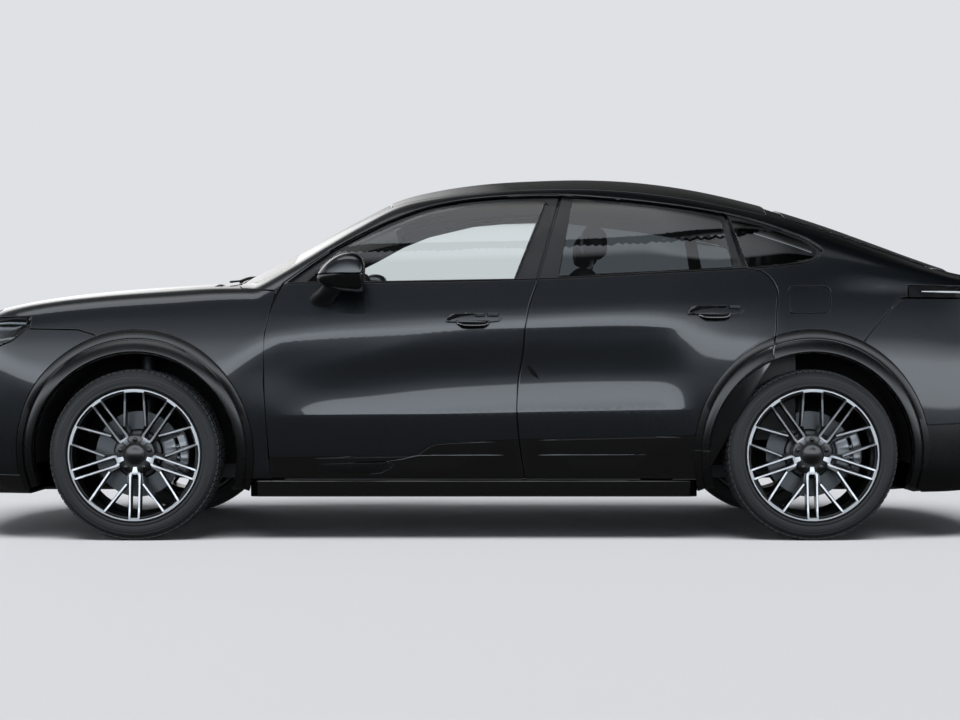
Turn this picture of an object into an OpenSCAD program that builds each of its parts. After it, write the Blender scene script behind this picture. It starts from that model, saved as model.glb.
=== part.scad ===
// Coupe sport utility vehicle: the nose points to -X, the left side to -Y, and Z = 0 is the ground.
// Body curves are drawn once for the nominal car and stretched between the driving dimensions.

/* [Overall] */
// Nose to front axle
front_overhang = 898; // [860:1:940]
// Distance between the axles
wheelbase = 2893; // [2820:1:2960]
// Rear axle to tail
rear_overhang = 993; // [950:1:1040]
// Width of the body without its mirrors
body_w = 1932; // [1860:1:2000]
// Height of the roof's crown above the ground
body_h = 1612; // [1560:1:1680]
// Height of the window sills at the front door
belt_h = 1095; // [1070:1:1120]
// Height of the sills' underside above the ground
sill_h = 188; // [175:1:205]

/* [Wheels] */
// Outer radius of a tyre, which is also the height of the axles
tyre_r = 365; // [355:1:372]
// Width of a tyre
tyre_w = 255; // [235:1:275]
// Outer radius of a rim's flange
rim_r = 285; // [275:1:295]
// Distance between the centre planes of the left and right tyres
track_w = 1650; // [1620:1:1670]
// Radius of the wheel arch openings
arch_r = 436; // [425:1:445]
// Width of the wheel arch trims
arch_trim_w = 78; // [60:1:90]
// Radius of a wheel's circle of bolts
bolt_circle_r = 65; // [60:1:70]
// Radius of a brake disc
disc_r = 185; // [170:1:195]

/* [Panels] */
// Gap between neighbouring panels
panel_gap = 5; // [4.5:0.5:7]
// Gap around the doors
door_gap = 6.5; // [6:0.5:8]
// Thickness of fenders, bumpers and other outer skins
skin_t = 14; // [10:1:18]
// Thickness of the bonnet and the tailgate
lid_t = 26; // [20:1:32]
// Thickness of a door below its window
door_t = 115; // [100:1:130]
// Thickness of a door's window frame
frame_t = 34; // [28:1:40]
// Depth of the rebate in which the doors' outer skins lie
rebate_d = 22; // [18:1:26]
// Thickness of the side and rear glass
glass_t = 6; // [5:1:8]
// Depth of the side glass below the outer skin
glass_d = 9; // [7:1:12]
// Thickness of the roof
roof_t = 30; // [24:1:40]
// Thickness of the body side behind the doors
wall_t = 160; // [150:1:175]

/* [Hidden] */

// ---- The nominal car, and how its curves stretch to the driving dimensions ----
NOM_NOSE = -2392;
NOM_FRONT = -1494;
NOM_REAR = 1399;
NOM_TAIL = 2392;
NOM_HALF_W = 966;
NOM_AXLE = 365;
NOM_SILL = 188;
NOM_BELT = 1095;
NOM_ROOF = 1612;

body_l = front_overhang + wheelbase + rear_overhang;
front_x = -body_l / 2 + front_overhang;
rear_x = front_x + wheelbase;
function mx(x) = lookup(x, [[NOM_NOSE - 100, -body_l / 2 - 100], [NOM_NOSE, -body_l / 2], [NOM_FRONT, front_x],
    [NOM_REAR, rear_x], [NOM_TAIL, body_l / 2], [NOM_TAIL + 100, body_l / 2 + 100]]);
function my(y) = y * body_w / (2 * NOM_HALF_W);
function mz(z) = lookup(z, [[0, 0], [NOM_SILL, sill_h], [NOM_BELT, belt_h], [NOM_ROOF, body_h],
    [NOM_ROOF + 400, body_h + 400]]);
function stretched(points) = [for (p = points) [mx(p.x), mz(p.y)]];
function stretched_top(points) = [for (p = points) [mx(p.x), my(p.y)]];

// ---- Smooth curves through a few points ----
function knot_slope(p, i) = let (n = len(p) - 1)
    i == 0 ? (p[1].y - p[0].y) / (p[1].x - p[0].x)
    : i == n ? (p[n].y - p[n - 1].y) / (p[n].x - p[n - 1].x)
    : let (a = p[i].x - p[i - 1].x, b = p[i + 1].x - p[i].x)
        ((p[i].y - p[i - 1].y) / a * b + (p[i + 1].y - p[i].y) / b * a) / (a + b);
function hermite(p, i, t) = let (h = p[i + 1].x - p[i].x, t2 = t * t, t3 = t2 * t)
    (2 * t3 - 3 * t2 + 1) * p[i].y + (t3 - 2 * t2 + t) * h * knot_slope(p, i)
    + (3 * t2 - 2 * t3) * p[i + 1].y + (t3 - t2) * h * knot_slope(p, i + 1);
function smooth_table(p, steps = 6) = [
    for (i = [0:len(p) - 2]) for (k = [0:steps - 1])
        let (t = k / steps) [p[i].x + t * (p[i + 1].x - p[i].x), hermite(p, i, t)],
    p[len(p) - 1]];
function ease(x, a, b) = let (t = min(1, max(0, (x - a) / (b - a)))) t * t * (3 - 2 * t);
function soft_max(a, b, k) = let (h = max(k - abs(a - b), 0) / k) max(a, b) + h * h * h * k / 6;
function soft_min(a, b, k) = -soft_max(-a, -b, k);

// ---- Body curves of the nominal car ----
// Half width against height, at the doors and at the wheel arches
door_side = smooth_table([[130, 760], [190, 850], [270, 893], [350, 908], [440, 923], [538, 936], [700, 938],
    [905, 941], [1000, 927], [1095, 885], [1250, 800]]);
fender_side = smooth_table([[130, 760], [190, 856], [270, 905], [400, 940], [550, 958], [700, 966], [780, 966],
    [900, 954], [1000, 930], [1095, 885], [1250, 790]]);
// Share of the full width along the car
plan_share = smooth_table([[-2500, 0.89], [-2392, 0.915], [-2200, 0.955], [-2000, 0.985], [-1800, 0.998],
    [-1494, 1], [1399, 1], [1700, 0.993], [1900, 0.978], [2100, 0.950], [2250, 0.920], [2392, 0.885], [2500, 0.86]]);
// Height of the window sill line and half width there
belt_line = smooth_table([[-2500, 1085], [-1150, 1085], [-846, 1087], [-508, 1091], [-20, 1104], [375, 1114],
    [770, 1134], [1010, 1149], [1171, 1168], [1306, 1186], [1450, 1200], [1700, 1196], [2000, 1160], [2300, 1110],
    [2500, 1080]]);
belt_half_w = smooth_table([[-2500, 842], [-1150, 842], [-850, 866], [-400, 880], [100, 884], [600, 882],
    [1000, 868], [1300, 842], [1600, 802], [1900, 756], [2150, 716], [2392, 680], [2500, 660]]);
// Centre line of the bonnet and of the windscreen, roof and rear glass
bonnet_line = smooth_table([[-2500, 640], [-2392, 810], [-2340, 902], [-2256, 974], [-2118, 1020], [-1985, 1050],
    [-1895, 1064], [-1686, 1088], [-1400, 1110], [-1150, 1124], [-900, 1118], [-600, 1060], [2500, 700]]);
roof_line = smooth_table([[-2500, 500], [-1500, 948], [-1152, 1115], [-836, 1277], [-560, 1428], [-391, 1512],
    [-200, 1562], [-31, 1588], [257, 1608], [466, 1612], [674, 1603], [951, 1567], [1231, 1504], [1508, 1421],
    [1787, 1320], [1967, 1252], [2120, 1200], [2250, 1172], [2320, 1160], [2500, 1130]]);
// Drop of the roof's surface 400 mm from the centre line
roof_crown = smooth_table([[-2500, 24], [-1152, 24], [-391, 25], [0, 34], [466, 38], [1500, 36], [2150, 26],
    [2500, 20]]);
// Length position of the nose and of the tail against height
nose_line = smooth_table([[130, -2260], [190, -2310], [300, -2362], [450, -2385], [600, -2392], [750, -2386],
    [850, -2368], [950, -2335], [1050, -2290], [1700, -2000]]);
tail_line = smooth_table([[130, 2240], [190, 2290], [260, 2340], [380, 2372], [520, 2388], [650, 2392], [770, 2388],
    [830, 2374], [900, 2352], [1000, 2338], [1090, 2330], [1150, 2324], [1700, 2300]]);
// Underside of the shell
under_line = [[-2500, 192], [-1950, 190], [1850, 190], [2392, 236], [2500, 240]];
// Height of the centre from which each cross section is drawn
section_centre = [[-2500, 600], [-2300, 600], [-900, 740], [1500, 740], [2100, 700], [2300, 650], [2500, 650]];

GLASS_LEAN = 0.575;
GLASS_BULGE = 12;
CREASE_Z = 538;
SCOOP_H = 260;
SCOOP_D = 13;

function scoop(x, z) = let (t = (z - CREASE_Z) / SCOOP_H, k = ease(x, -980, -600) * (1 - ease(x, 740, 930)))
    (t <= 0 || t >= 1) ? 0 : k * SCOOP_D * 6.75 * t * (1 - t) * (1 - t);
function tub_half_w(x, z) = let (
    lift = (lookup(x, belt_line) - NOM_BELT) * ease(z, 850, 1095),
    zz = z - lift,
    arch = 1 - ease(x, -1200, -850) + ease(x, 650, 1050),
    side = lookup(zz, door_side) * (1 - arch) + lookup(zz, fender_side) * arch)
    side * lookup(x, plan_share) - ease(zz, 860, 1095) * (885 - lookup(x, belt_half_w)) - scoop(x, z);
function glass_half_w(x, z) = let (up = z - lookup(x, belt_line), t = up / 380)
    lookup(x, belt_half_w) - GLASS_LEAN * up + 4 * GLASS_BULGE * t * (1 - t);
function half_w(x, z) = let (tub = tub_half_w(x, z), glass = glass_half_w(x, z), rear = ease(x, 1350, 1750))
    soft_min(tub, glass, 20) * (1 - rear) + soft_max(min(tub, 1200), glass, 120) * rear * ease(z, 1050, 1250)
    + soft_min(tub, glass, 20) * rear * (1 - ease(z, 1050, 1250));
function top_z(x, y) = soft_max(lookup(x, bonnet_line) - 40 * pow(abs(y) / 800, 2.2),
    lookup(x, roof_line) - lookup(x, roof_crown) * pow(abs(y) / 400, 2.2), 14);
function nose_x(y, z) = lookup(z, nose_line) + 130 * pow(abs(y) / 800, 2.4);
function tail_x(y, z) = lookup(z, tail_line) - 150 * pow(abs(y) / 800, 2.4);
// Below zero inside the body, about the depth under the skin in mm
function body_level(x, y, z) = let (
    end = x < 0 ? nose_x(y, z) - x : x - tail_x(y, z),
    around = soft_max(y - half_w(x, z), end, x < 0 ? 350 : 300))
    max(soft_max(around, z - top_z(x, y), lookup(x, [[-1300, 110], [-900, 80], [1700, 80], [2150, 26]])),
        lookup(x, under_line) - z);

// ---- Closed solids of the body at a depth under its skin ----
STATIONS = [-2378, -2350, -2305, -2245, -2165, -2070, -1960, -1830, -1690, -1550, -1400, -1270, -1180, -1100,
    -1000, -900, -790, -670, -550, -440, -330, -200, -50, 120, 290, 460, 630, 790, 930, 1060, 1180, 1310, 1440,
    1570, 1700, 1830, 1950, 2050, 2140, 2210, 2260, 2305, 2350, 2378];
// Rays under the window sill line, those between it and the roof's edge, and those over the top
LOW_RAYS = [-90, -50, -36.5, -30, -23, -17, -12.2, -8.5, -2, 6, 13, 18.5];
SILL_ANGLE = 22;
MID_RAYS = [0, 0.3, 0.62, 0.86];
TOP_RAYS = [0, 0.13, 0.3, 0.55, 1];
N_RAYS = len(LOW_RAYS) + len(MID_RAYS) + len(TOP_RAYS);
function ray_angles(x) = let (zc = lookup(x, section_centre), sill = lookup(x, belt_line),
    edge_z = max(lookup(x, bonnet_line) - 40, lookup(x, roof_line) - 92, sill + 30),
    edge_y = lookup(x, belt_half_w) - GLASS_LEAN * (edge_z - sill),
    low = atan2(sill - zc, lookup(x, belt_half_w)), high = max(low + 4, atan2(edge_z - zc, edge_y)))
    [for (a = LOW_RAYS) a < 0 ? a : a * low / SILL_ANGLE, for (t = MID_RAYS) low + t * (high - low),
     for (t = TOP_RAYS) high + t * (90 - high)];
SEARCH_R = 1500;
SEARCH_STEPS = 13;
END_FLAT = 2;

function depth_at(z, low, high) = low + (high - low) * ease(z, NOM_BELT - 70, NOM_BELT + 30);
function edge_r(x, zc, a, low, high, r0, r1, n) = n == 0 ? (r0 + r1) / 2
    : let (r = (r0 + r1) / 2, z = zc + r * sin(a))
        body_level(x, r * cos(a), z) < -depth_at(z, low, high)
            ? edge_r(x, zc, a, low, high, r, r1, n - 1) : edge_r(x, zc, a, low, high, r0, r, n - 1);
// Points of one cross section, from the bottom up the right side to the top, then down the left side
function section(x, low, high) = let (zc = lookup(x, section_centre),
    half = [for (a = ray_angles(x)) let (r = edge_r(x, zc, a, low, high, 0, SEARCH_R, SEARCH_STEPS))
        [r * cos(a), zc + r * sin(a)]])
    [for (p = half) [mx(x), my(p.x), mz(p.y)],
     for (i = [N_RAYS - 2:-1:1]) [mx(x), -my(half[i].x), mz(half[i].y)]];
// The body shrunk by low under the window sills and by high above them, between two stations
module body_solid(low, high, x0 = NOM_NOSE, x1 = NOM_TAIL) {
    first = max(x0, NOM_NOSE + low + END_FLAT);
    last = min(x1, NOM_TAIL - low - END_FLAT);
    stations = [first, for (x = STATIONS) if (x > first + 9 && x < last - 9) x, last];
    n = 2 * N_RAYS - 2;
    m = len(stations);
    points = [for (x = stations) each section(x, low, high)];
    sides = [for (i = [0:m - 2]) for (j = [0:n - 1]) let (a = i * n + j, b = i * n + (j + 1) % n)
        each [[a, b + n, b], [a, a + n, b + n]]];
    polyhedron(points, [[for (j = [0:n - 1]) j], each sides, [for (j = [n - 1:-1:0]) (m - 1) * n + j]]);
}
// Joins its children as one triangle mesh
module meshed() resize([0, 0, 0]) children();
module shell(outer_low, outer_high, inner_low, inner_high, x0, x1) difference() {
    body_solid(outer_low, outer_high, x0, x1);
    body_solid(inner_low, inner_high, x0 - 20, x1 + 20);
}
// Prism of a side-view outline, on the left side of the car
module side_prism(outline, y0 = -1100, y1 = -520) translate([0, y1, 0]) rotate([90, 0, 0])
    linear_extrude(y1 - y0) polygon(stretched(outline));
module top_prism(outline, z0 = 0, z1 = 1900) translate([0, 0, z0]) linear_extrude(z1 - z0)
    polygon(stretched_top(outline));
module side_prism_offset(outline, by, y0 = -1100, y1 = -520) translate([0, y1, 0]) rotate([90, 0, 0])
    linear_extrude(y1 - y0) offset(delta = by) polygon(stretched(outline));
module both_sides() { children(); mirror([0, 1, 0]) children(); }
module on_side(side) { if (side < 0) children(); else mirror([0, 1, 0]) children(); }

// ---- Side-view outlines of the nominal car ----
function reversed(points) = [for (i = [len(points) - 1:-1:0]) points[i]];
function arc(cx, cz, rx, rz, a0, a1, n = 12) = [for (k = [0:n]) let (a = a0 + (a1 - a0) * k / n)
    [cx + rx * cos(a), cz + rz * sin(a)]];
DOOR_ARCH_R = 452;
b_line = [[172, 262], [150, 405], [137, 549], [143, 666], [163, 797], [176, 928], [195, 1019], [223, 1096]];
a_line = [[-868, 1102], [-911, 1006], [-938, 889], [-942, 668], [-921, 327], [-915, 262]];
frame_top_front = [[340, 1503], [290, 1503], [100, 1497], [-78, 1480], [-252, 1444], [-425, 1377], [-675, 1242]];
frame_top_rear = [[1062, 1417], [803, 1457], [600, 1481], [340, 1503]];
c_line = [[1219, 800], [1233, 849], [1249, 993], [1255, 1073], [1196, 1150], [1128, 1163]];
door_front_outline = concat(b_line, frame_top_front, a_line);
door_rear_outline = concat(reversed(b_line), [[938, 262]],
    reversed(arc(NOM_REAR, NOM_AXLE, DOOR_ARCH_R, DOOR_ARCH_R, 112, 176, 8)), c_line, frame_top_rear);
window_front = [[128, 1122], [268, 1476], [100, 1470], [-74, 1454], [-243, 1419], [-410, 1353], [-658, 1220],
    [-770, 1112], [-508, 1112]];
window_rear = [[319, 1134], [770, 1156], [1072, 1172], [1026, 1393], [793, 1431], [590, 1455], [389, 1476]];
window_quarter = [[1138, 1172], [1171, 1178], [1306, 1192], [1417, 1217], [1432, 1244], [1409, 1272], [1322, 1315],
    [1194, 1358], [1076, 1380]];
headlamp_outline = [[-1933, 934], [-1937, 955], [-2088, 953], [-2360, 925], [-2400, 850], [-2088, 826],
    [-2023, 852], [-1993, 878]];
front_bumper_outline = [[-2500, 150], [-2500, 1100], [-2110, 1100], [-2110, 955], [-1949, 955], [-1949, 903],
    [-1744, 899], [-1672, 878], [-1560, 740], [-1560, 150]];
rear_bumper_outline = [[2600, 150], [2600, 1037], [1796, 1037], [1632, 862], [1560, 740], [1560, 150]];
fender_outline = concat([[-2110, 600], [-2110, 1300], [-1150, 1300], [-1047, 1080], [-897, 1068]],
    [for (i = [1:5]) a_line[i]], [[-1100, 262], [-1494, 500]]);
side_frame_outline = [[-1150, 1300], [-1150, 187], [1500, 187], [1800, 700], [2290, 1040], [2500, 1040],
    [2500, 1700], [-1150, 1700]];
tail_lamp_z = [1042, 1090];
tail_lamp_x = 1835;

// ---- Plan outlines of the nominal car, for the half with y above 0 ----
function mirrored(points) = concat(points, [for (p = reversed(points)) [p.x, -p.y]]);
windscreen_plan = [[-1140, 0], [-1128, 250], [-1075, 520], [-985, 730], [-925, 775], [-700, 705], [-520, 640],
    [-412, 590], [-432, 300], [-440, 0]];
roof_plan = [[-434, 0], [-426, 300], [-406, 588], [-200, 590], [50, 572], [290, 565], [600, 580], [850, 590],
    [1100, 588], [1252, 575], [1262, 300], [1264, 0]];
tailgate_plan = [[1276, 0], [1274, 300], [1264, 575], [1500, 590], [1800, 606], [2100, 622], [2300, 632],
    [2600, 640], [2600, 0]];
rear_glass_plan = [[1345, 0], [1343, 300], [1338, 500], [1500, 508], [1800, 520], [2080, 528], [2092, 300],
    [2096, 0]];
bonnet_plan = [[-2334, 0], [-2322, 220], [-2285, 420], [-2215, 560], [-2110, 640], [-1950, 690], [-1700, 716],
    [-1400, 728], [-1176, 734], [-1182, 600], [-1196, 400], [-1208, 200], [-1212, 0]];
cowl_plan = [[-1186, 0], [-1182, 200], [-1170, 400], [-1154, 600], [-1148, 742], [-985, 738], [-1083, 520],
    [-1136, 250], [-1148, 0]];
// The room behind the bonnet's rear edge, in which it swings
bonnet_rear_room = [[-1240, 0], [-1240, 650], [-1173, 739.5], [-1100, 739.5], [-1100, 0]];
COWL_DEPTH = 12;
TAILGATE_Z = 790;

// ---- Skins of the body ----
SEAT_GAP = 0.3;
paint = [0.16, 0.17, 0.18];
black = [0.03, 0.03, 0.035];
glass = [0.1, 0.11, 0.12, 0.5];
SIDE_REACH = 1100;
LOW_FACE_Y = 790;
LOW_FACE_TOP = 900;
WINDOW_LINE_Z = 1085;
TOP_Z0 = 860;
EDGE_INSET = 23;
PILLAR_INSET = 60;

module arch_oval(x, rx, rz, y1 = -500) translate([mx(x), y1, tyre_r]) rotate([90, 0, 0])
    linear_extrude(SIDE_REACH + y1) polygon(arc(0, 0, rx, rz, 0, 360 - 360 / ARCH_SIDES, ARCH_SIDES - 1));
ARCH_SIDES = 40;
module arch_clearance() both_sides() {
    translate([front_x, -500, tyre_r]) rotate([90, 0, 0]) cylinder(h = SIDE_REACH, r = arch_r, $fn = ARCH_SIDES);
    translate([rear_x, -640, tyre_r]) rotate([90, 0, 0]) cylinder(h = SIDE_REACH, r = arch_r, $fn = ARCH_SIDES);
}
ARCH_TRIM_RISE = 28;
module arch_trim_space(grow = 0) both_sides() for (x = [NOM_FRONT, NOM_REAR])
    arch_oval(x, arch_r + arch_trim_w - 8 + grow, arch_r + arch_trim_w + ARCH_TRIM_RISE + grow);
// The space inside the cabin beside the doors and under their windows
module low_cut(y, top) translate([-body_l, -y, -10]) cube([2 * body_l, 2 * y, mz(top) + 10]);

// The bonnet turns on two lugs between brackets on the bulkhead
bonnet_axis = [-1168, 1076];
PIN_R = 5;
PIN_ROOM = 0.5;
BONNET_LUG_W = 24;
bonnet_lug_y = 490;
bonnet_lug = [[-80, 16], [-80, -2], [-50, -11], [0, -9], [9, -3], [9, 3], [3, 8], [-24, 8], [-30, 16]];
bonnet_bracket = [[-8, 8], [-8, -8], [6, -62], [38, -62], [38, -36], [22, -30], [8, 8]];
BRACKET_T = 8;
module bonnet() color(paint) {
    meshed() intersection() {
        shell(0, 0, lid_t, lid_t, -2392, -1120);
        top_prism(mirrored(bonnet_plan), TOP_Z0);
    }
    bonnet_hinge_place() difference() {
        xz_plate(bonnet_lug, BONNET_LUG_W);
        xz_pin(PIN_R + PIN_ROOM, BONNET_LUG_W);
    }
}
module bonnet_hinge_place() both_sides() translate([mx(bonnet_axis.x), bonnet_lug_y, mz(bonnet_axis.y)]) children();
// A plate of width w, and a pin through one, centred on the hinge place
module xz_plate(profile, w) translate([0, w / 2, 0]) rotate([90, 0, 0]) linear_extrude(w) polygon(profile);
module xz_pin(r, w) translate([0, w / 2 + 1, 0]) rotate([90, 0, 0]) cylinder(h = w + 2, r = r, $fn = 32);
bracket_shift = (BONNET_LUG_W + BRACKET_T) / 2 + PIN_ROOM;
module bonnet_brackets() bonnet_hinge_place() {
    for (y = [-bracket_shift, bracket_shift]) translate([0, y, 0]) xz_plate(bonnet_bracket, BRACKET_T);
    xz_pin(PIN_R, 2 * bracket_shift);
}
module fenders() color(paint) meshed() difference() {
    intersection() {
        shell(0, 0, skin_t, skin_t, -2130, -840);
        both_sides() side_prism(fender_outline, -SIDE_REACH, -500);
    }
    gap_around_plan(windscreen_plan, SEAT_GAP);
    gap_around_plan(bonnet_plan);
    top_prism(mirrored(bonnet_rear_room), TOP_Z0 - 80);
    gap_around_plan(cowl_plan);
    both_sides() side_prism_offset(headlamp_outline, panel_gap, -SIDE_REACH, -500);
    both_sides() side_prism_offset(front_bumper_outline, panel_gap, -SIDE_REACH, -500);
    both_sides() side_prism_offset(door_front_outline, door_gap / 2, -SIDE_REACH, -500);
    arch_trim_space(SEAT_GAP);
}
module gap_around_plan(plan, by = panel_gap) translate([0, 0, TOP_Z0 - 80]) linear_extrude(1100)
    offset(delta = by) polygon(stretched_top(mirrored(plan)));
module front_bumper() color(paint) meshed() difference() {
    intersection() {
        shell(0, 0, skin_t, skin_t, -2392, -1540);
        union() {
            both_sides() side_prism(front_bumper_outline, -SIDE_REACH, -1);
            translate([-body_l, -1.5, 0]) cube([body_l - 1900, 3, 1100]);
        }
    }
    gap_around_plan(bonnet_plan);
    both_sides() side_prism_offset(headlamp_outline, SEAT_GAP, -SIDE_REACH, -500);
    arch_trim_space(SEAT_GAP);
}
HEADLAMP_DEPTH = 60;
module headlamps() color([0.3, 0.32, 0.34]) meshed() difference() {
    intersection() {
        shell(2, 2, HEADLAMP_DEPTH, HEADLAMP_DEPTH, -2392, -1900);
        both_sides() side_prism(headlamp_outline, -SIDE_REACH, -520);
    }
    gap_around_plan(bonnet_plan);
}
module windscreen() color(glass) meshed() intersection() {
    shell(2, 2, 2 + glass_t, 2 + glass_t, -1180, -380);
    top_prism(mirrored(windscreen_plan), 960);
}
module cowl() intersection() {
    shell(COWL_DEPTH, COWL_DEPTH, 2 * COWL_DEPTH, 2 * COWL_DEPTH, -1230, -940);
    top_prism(mirrored(cowl_plan), 960);
}
module roof_panel() color(paint) {
    meshed() {
        intersection() {
            shell(0, 0, roof_t, roof_t, -480, 1310);
            top_prism(mirrored(roof_plan), 1200);
        }
        tailgate_straps();
    }
    tailgate_barrels();
}
module rear_bumper() color(paint) meshed() difference() {
    intersection() {
        shell(0, 0, skin_t, skin_t, 1540, 2392);
        union() {
            both_sides() side_prism(rear_bumper_outline, -SIDE_REACH, -1);
            translate([1800, -1.5, 0]) cube([700, 3, 1037]);
        }
    }
    tailgate_space(panel_gap);
    arch_trim_space(SEAT_GAP);
}
module tailgate_space(by) translate([0, 0, mz(TAILGATE_Z) - by]) linear_extrude(1100)
    offset(delta = by) polygon(stretched_top(mirrored(tailgate_plan)));
LAMP_RECESS = 16;
module lamp_band(low, high, x0 = 1780) intersection() {
    shell(-30, -30, LAMP_RECESS, LAMP_RECESS, x0, 2392);
    translate([x0, -SIDE_REACH, mz(low)]) cube([body_l, 2 * SIDE_REACH, mz(high) - mz(low)]);
}
// The tailgate turns about the barrels of two straps that reach it from under the roof
tailgate_axis = [1300, 1472];
STRAP_Y = 135;
STRAP_W = 16;
BARREL_W = 32;
BARREL_R = 8;
STRAP_RISE = 80;
STRAP_L = 118;
strap_profile = [[2, -BARREL_R], [-34, -26], [-STRAP_L, -14], [-STRAP_L, 0], [-34, -13], [-2, BARREL_R - 4]];
module tailgate_hinge_place() both_sides() translate([mx(tailgate_axis.x), STRAP_Y, mz(tailgate_axis.y)]) children();
module tailgate_barrels() tailgate_hinge_place() xz_pin(BARREL_R, BARREL_W - 2);
module tailgate_straps() {
    tailgate_hinge_place() xz_plate(strap_profile, STRAP_W);
    intersection() {
        tailgate_hinge_place() translate([-STRAP_L, -STRAP_W / 2, -10]) cube([24, STRAP_W, STRAP_RISE]);
        body_solid(roof_t - 2, roof_t - 2, 1100, 1400);
    }
}
module tailgate_notches() tailgate_hinge_place()
    translate([-60, -BARREL_W / 2 - HINGE_SIDE_GAP, -60]) cube([60 + BARREL_R + 4, BARREL_W + 2 * HINGE_SIDE_GAP, 90]);
module tailgate() color(paint) meshed() difference() {
    intersection() {
        shell(0, 0, lid_t, lid_t, 1200, 2392);
        tailgate_space(0);
    }
    top_prism(mirrored(rear_glass_plan), 1000);
    lamp_band(tail_lamp_z[0], tail_lamp_z[1]);
    tailgate_notches();
}
module rear_glass() color(glass) meshed() intersection() {
    shell(2, 2, 2 + glass_t, 2 + glass_t, 1290, 2150);
    translate([0, 0, 1000]) linear_extrude(900) offset(delta = -SEAT_GAP)
        polygon(stretched_top(mirrored(rear_glass_plan)));
}
module lamp_strip() intersection() {
    shell(3, 3, LAMP_RECESS - SEAT_GAP, LAMP_RECESS - SEAT_GAP, tail_lamp_x, 2392);
    translate([tail_lamp_x, -SIDE_REACH, mz(tail_lamp_z[0]) + SEAT_GAP])
        cube([body_l, 2 * SIDE_REACH, mz(tail_lamp_z[1]) - mz(tail_lamp_z[0]) - 2 * SEAT_GAP]);
}
module light_bar() color([0.25, 0.02, 0.02]) meshed() intersection() {
    lamp_strip();
    tailgate_space(-panel_gap);
}
module tail_lamps() color([0.25, 0.02, 0.02]) both_sides() meshed() difference() {
    lamp_strip();
    tailgate_space(panel_gap);
    cube([body_l, SIDE_REACH, 2 * body_h]);
}

// The doors' own skins and, behind them, their narrower inner panels
module inner_prism(outline, by) {
    intersection() {
        side_prism_offset(outline, -PILLAR_INSET + by);
        low_half();
    }
    intersection() {
        side_prism_offset(outline, -EDGE_INSET + by);
        translate([-body_l, -SIDE_REACH, mz(WINDOW_LINE_Z) - 20]) cube([2 * body_l, SIDE_REACH, 800]);
    }
}
// A door's outline, whose rear edge is set forward above the sill line so that it swings clear
FRAME_RELIEF = 8;
module door_prism(outline) intersection() {
    side_prism_offset(outline, -door_gap / 2);
    union() {
        low_half();
        translate([-FRAME_RELIEF, 0, 0]) side_prism_offset(outline, -door_gap / 2);
    }
}
module low_half(top = WINDOW_LINE_Z) translate([-body_l, -SIDE_REACH, 0]) cube([2 * body_l, SIDE_REACH, mz(top)]);
module door_panel(outline, window, x0, x1) color(paint) meshed() difference() {
    union() {
        intersection() {
            shell(0, 0, rebate_d, rebate_d, x0, x1);
            door_prism(outline);
        }
        intersection() {
            shell(rebate_d / 2, rebate_d / 2, door_t, frame_t, x0, x1);
            inner_prism(outline, 0);
        }
    }
    side_prism_offset(window, 0);
    low_cut(LOW_FACE_Y, LOW_FACE_TOP);
    hinge_notches();
}
module door_front(side) on_side(side) door_panel(door_front_outline, window_front, -1000, 420);
module door_rear(side) on_side(side) door_panel(door_rear_outline, window_rear, 60, 1340);
module pane(outline, x0, x1) color(glass) meshed() intersection() {
    shell(glass_d, glass_d, glass_d + glass_t, glass_d + glass_t, x0, x1);
    side_prism_offset(outline, -SEAT_GAP);
}
module door_glass_front(side) on_side(side) pane(window_front, -840, 340);
module door_glass_rear(side) on_side(side) pane(window_rear, 240, 1140);
module quarter_glass() { pane(window_quarter, 1020, 1480); mirror([0, 1, 0]) pane(window_quarter, 1020, 1480); }
REBATE_ROOM = 6;
INNER_ROOM = 8;
PILLAR_T = 58;
module door_opening(outline) {
    intersection() {
        shell(-30, -30, rebate_d + REBATE_ROOM, rebate_d + REBATE_ROOM, -1100, 1400);
        side_prism_offset(outline, door_gap / 2);
    }
    inner_prism(outline, INNER_ROOM);
}
// Door hinge pins, and the room in the pillars for the door edges ahead of them
hinge_y = 938;
front_hinge_x = -897;
rear_hinge_x = 191;
HINGE_ROOM = 62;
hinge_z = [400, 880];
HINGE_R = 5;
HINGE_H = 40;
HINGE_SIDE_GAP = 0.5;
LEAF_TURN = 10;
LEAF_W = 12;
module hinge_places() for (x = [front_hinge_x, rear_hinge_x], z = hinge_z)
    translate([mx(x), -my(hinge_y), mz(z)]) children();
// A barrel on the hinge axis with its leaf, which reaches the pillar behind it
module hinge_leaves() hinge_places() {
    translate([0, 0, -HINGE_H / 2]) cylinder(h = HINGE_H, r = HINGE_R, $fn = 24);
    rotate([0, 0, LEAF_TURN]) translate([-LEAF_W / 2, 0, -HINGE_H / 2 + 6])
        cube([LEAF_W, HINGE_ROOM * cos(180 / HINGE_SIDES) - SEAT_GAP, HINGE_H - 12]);
}
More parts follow.
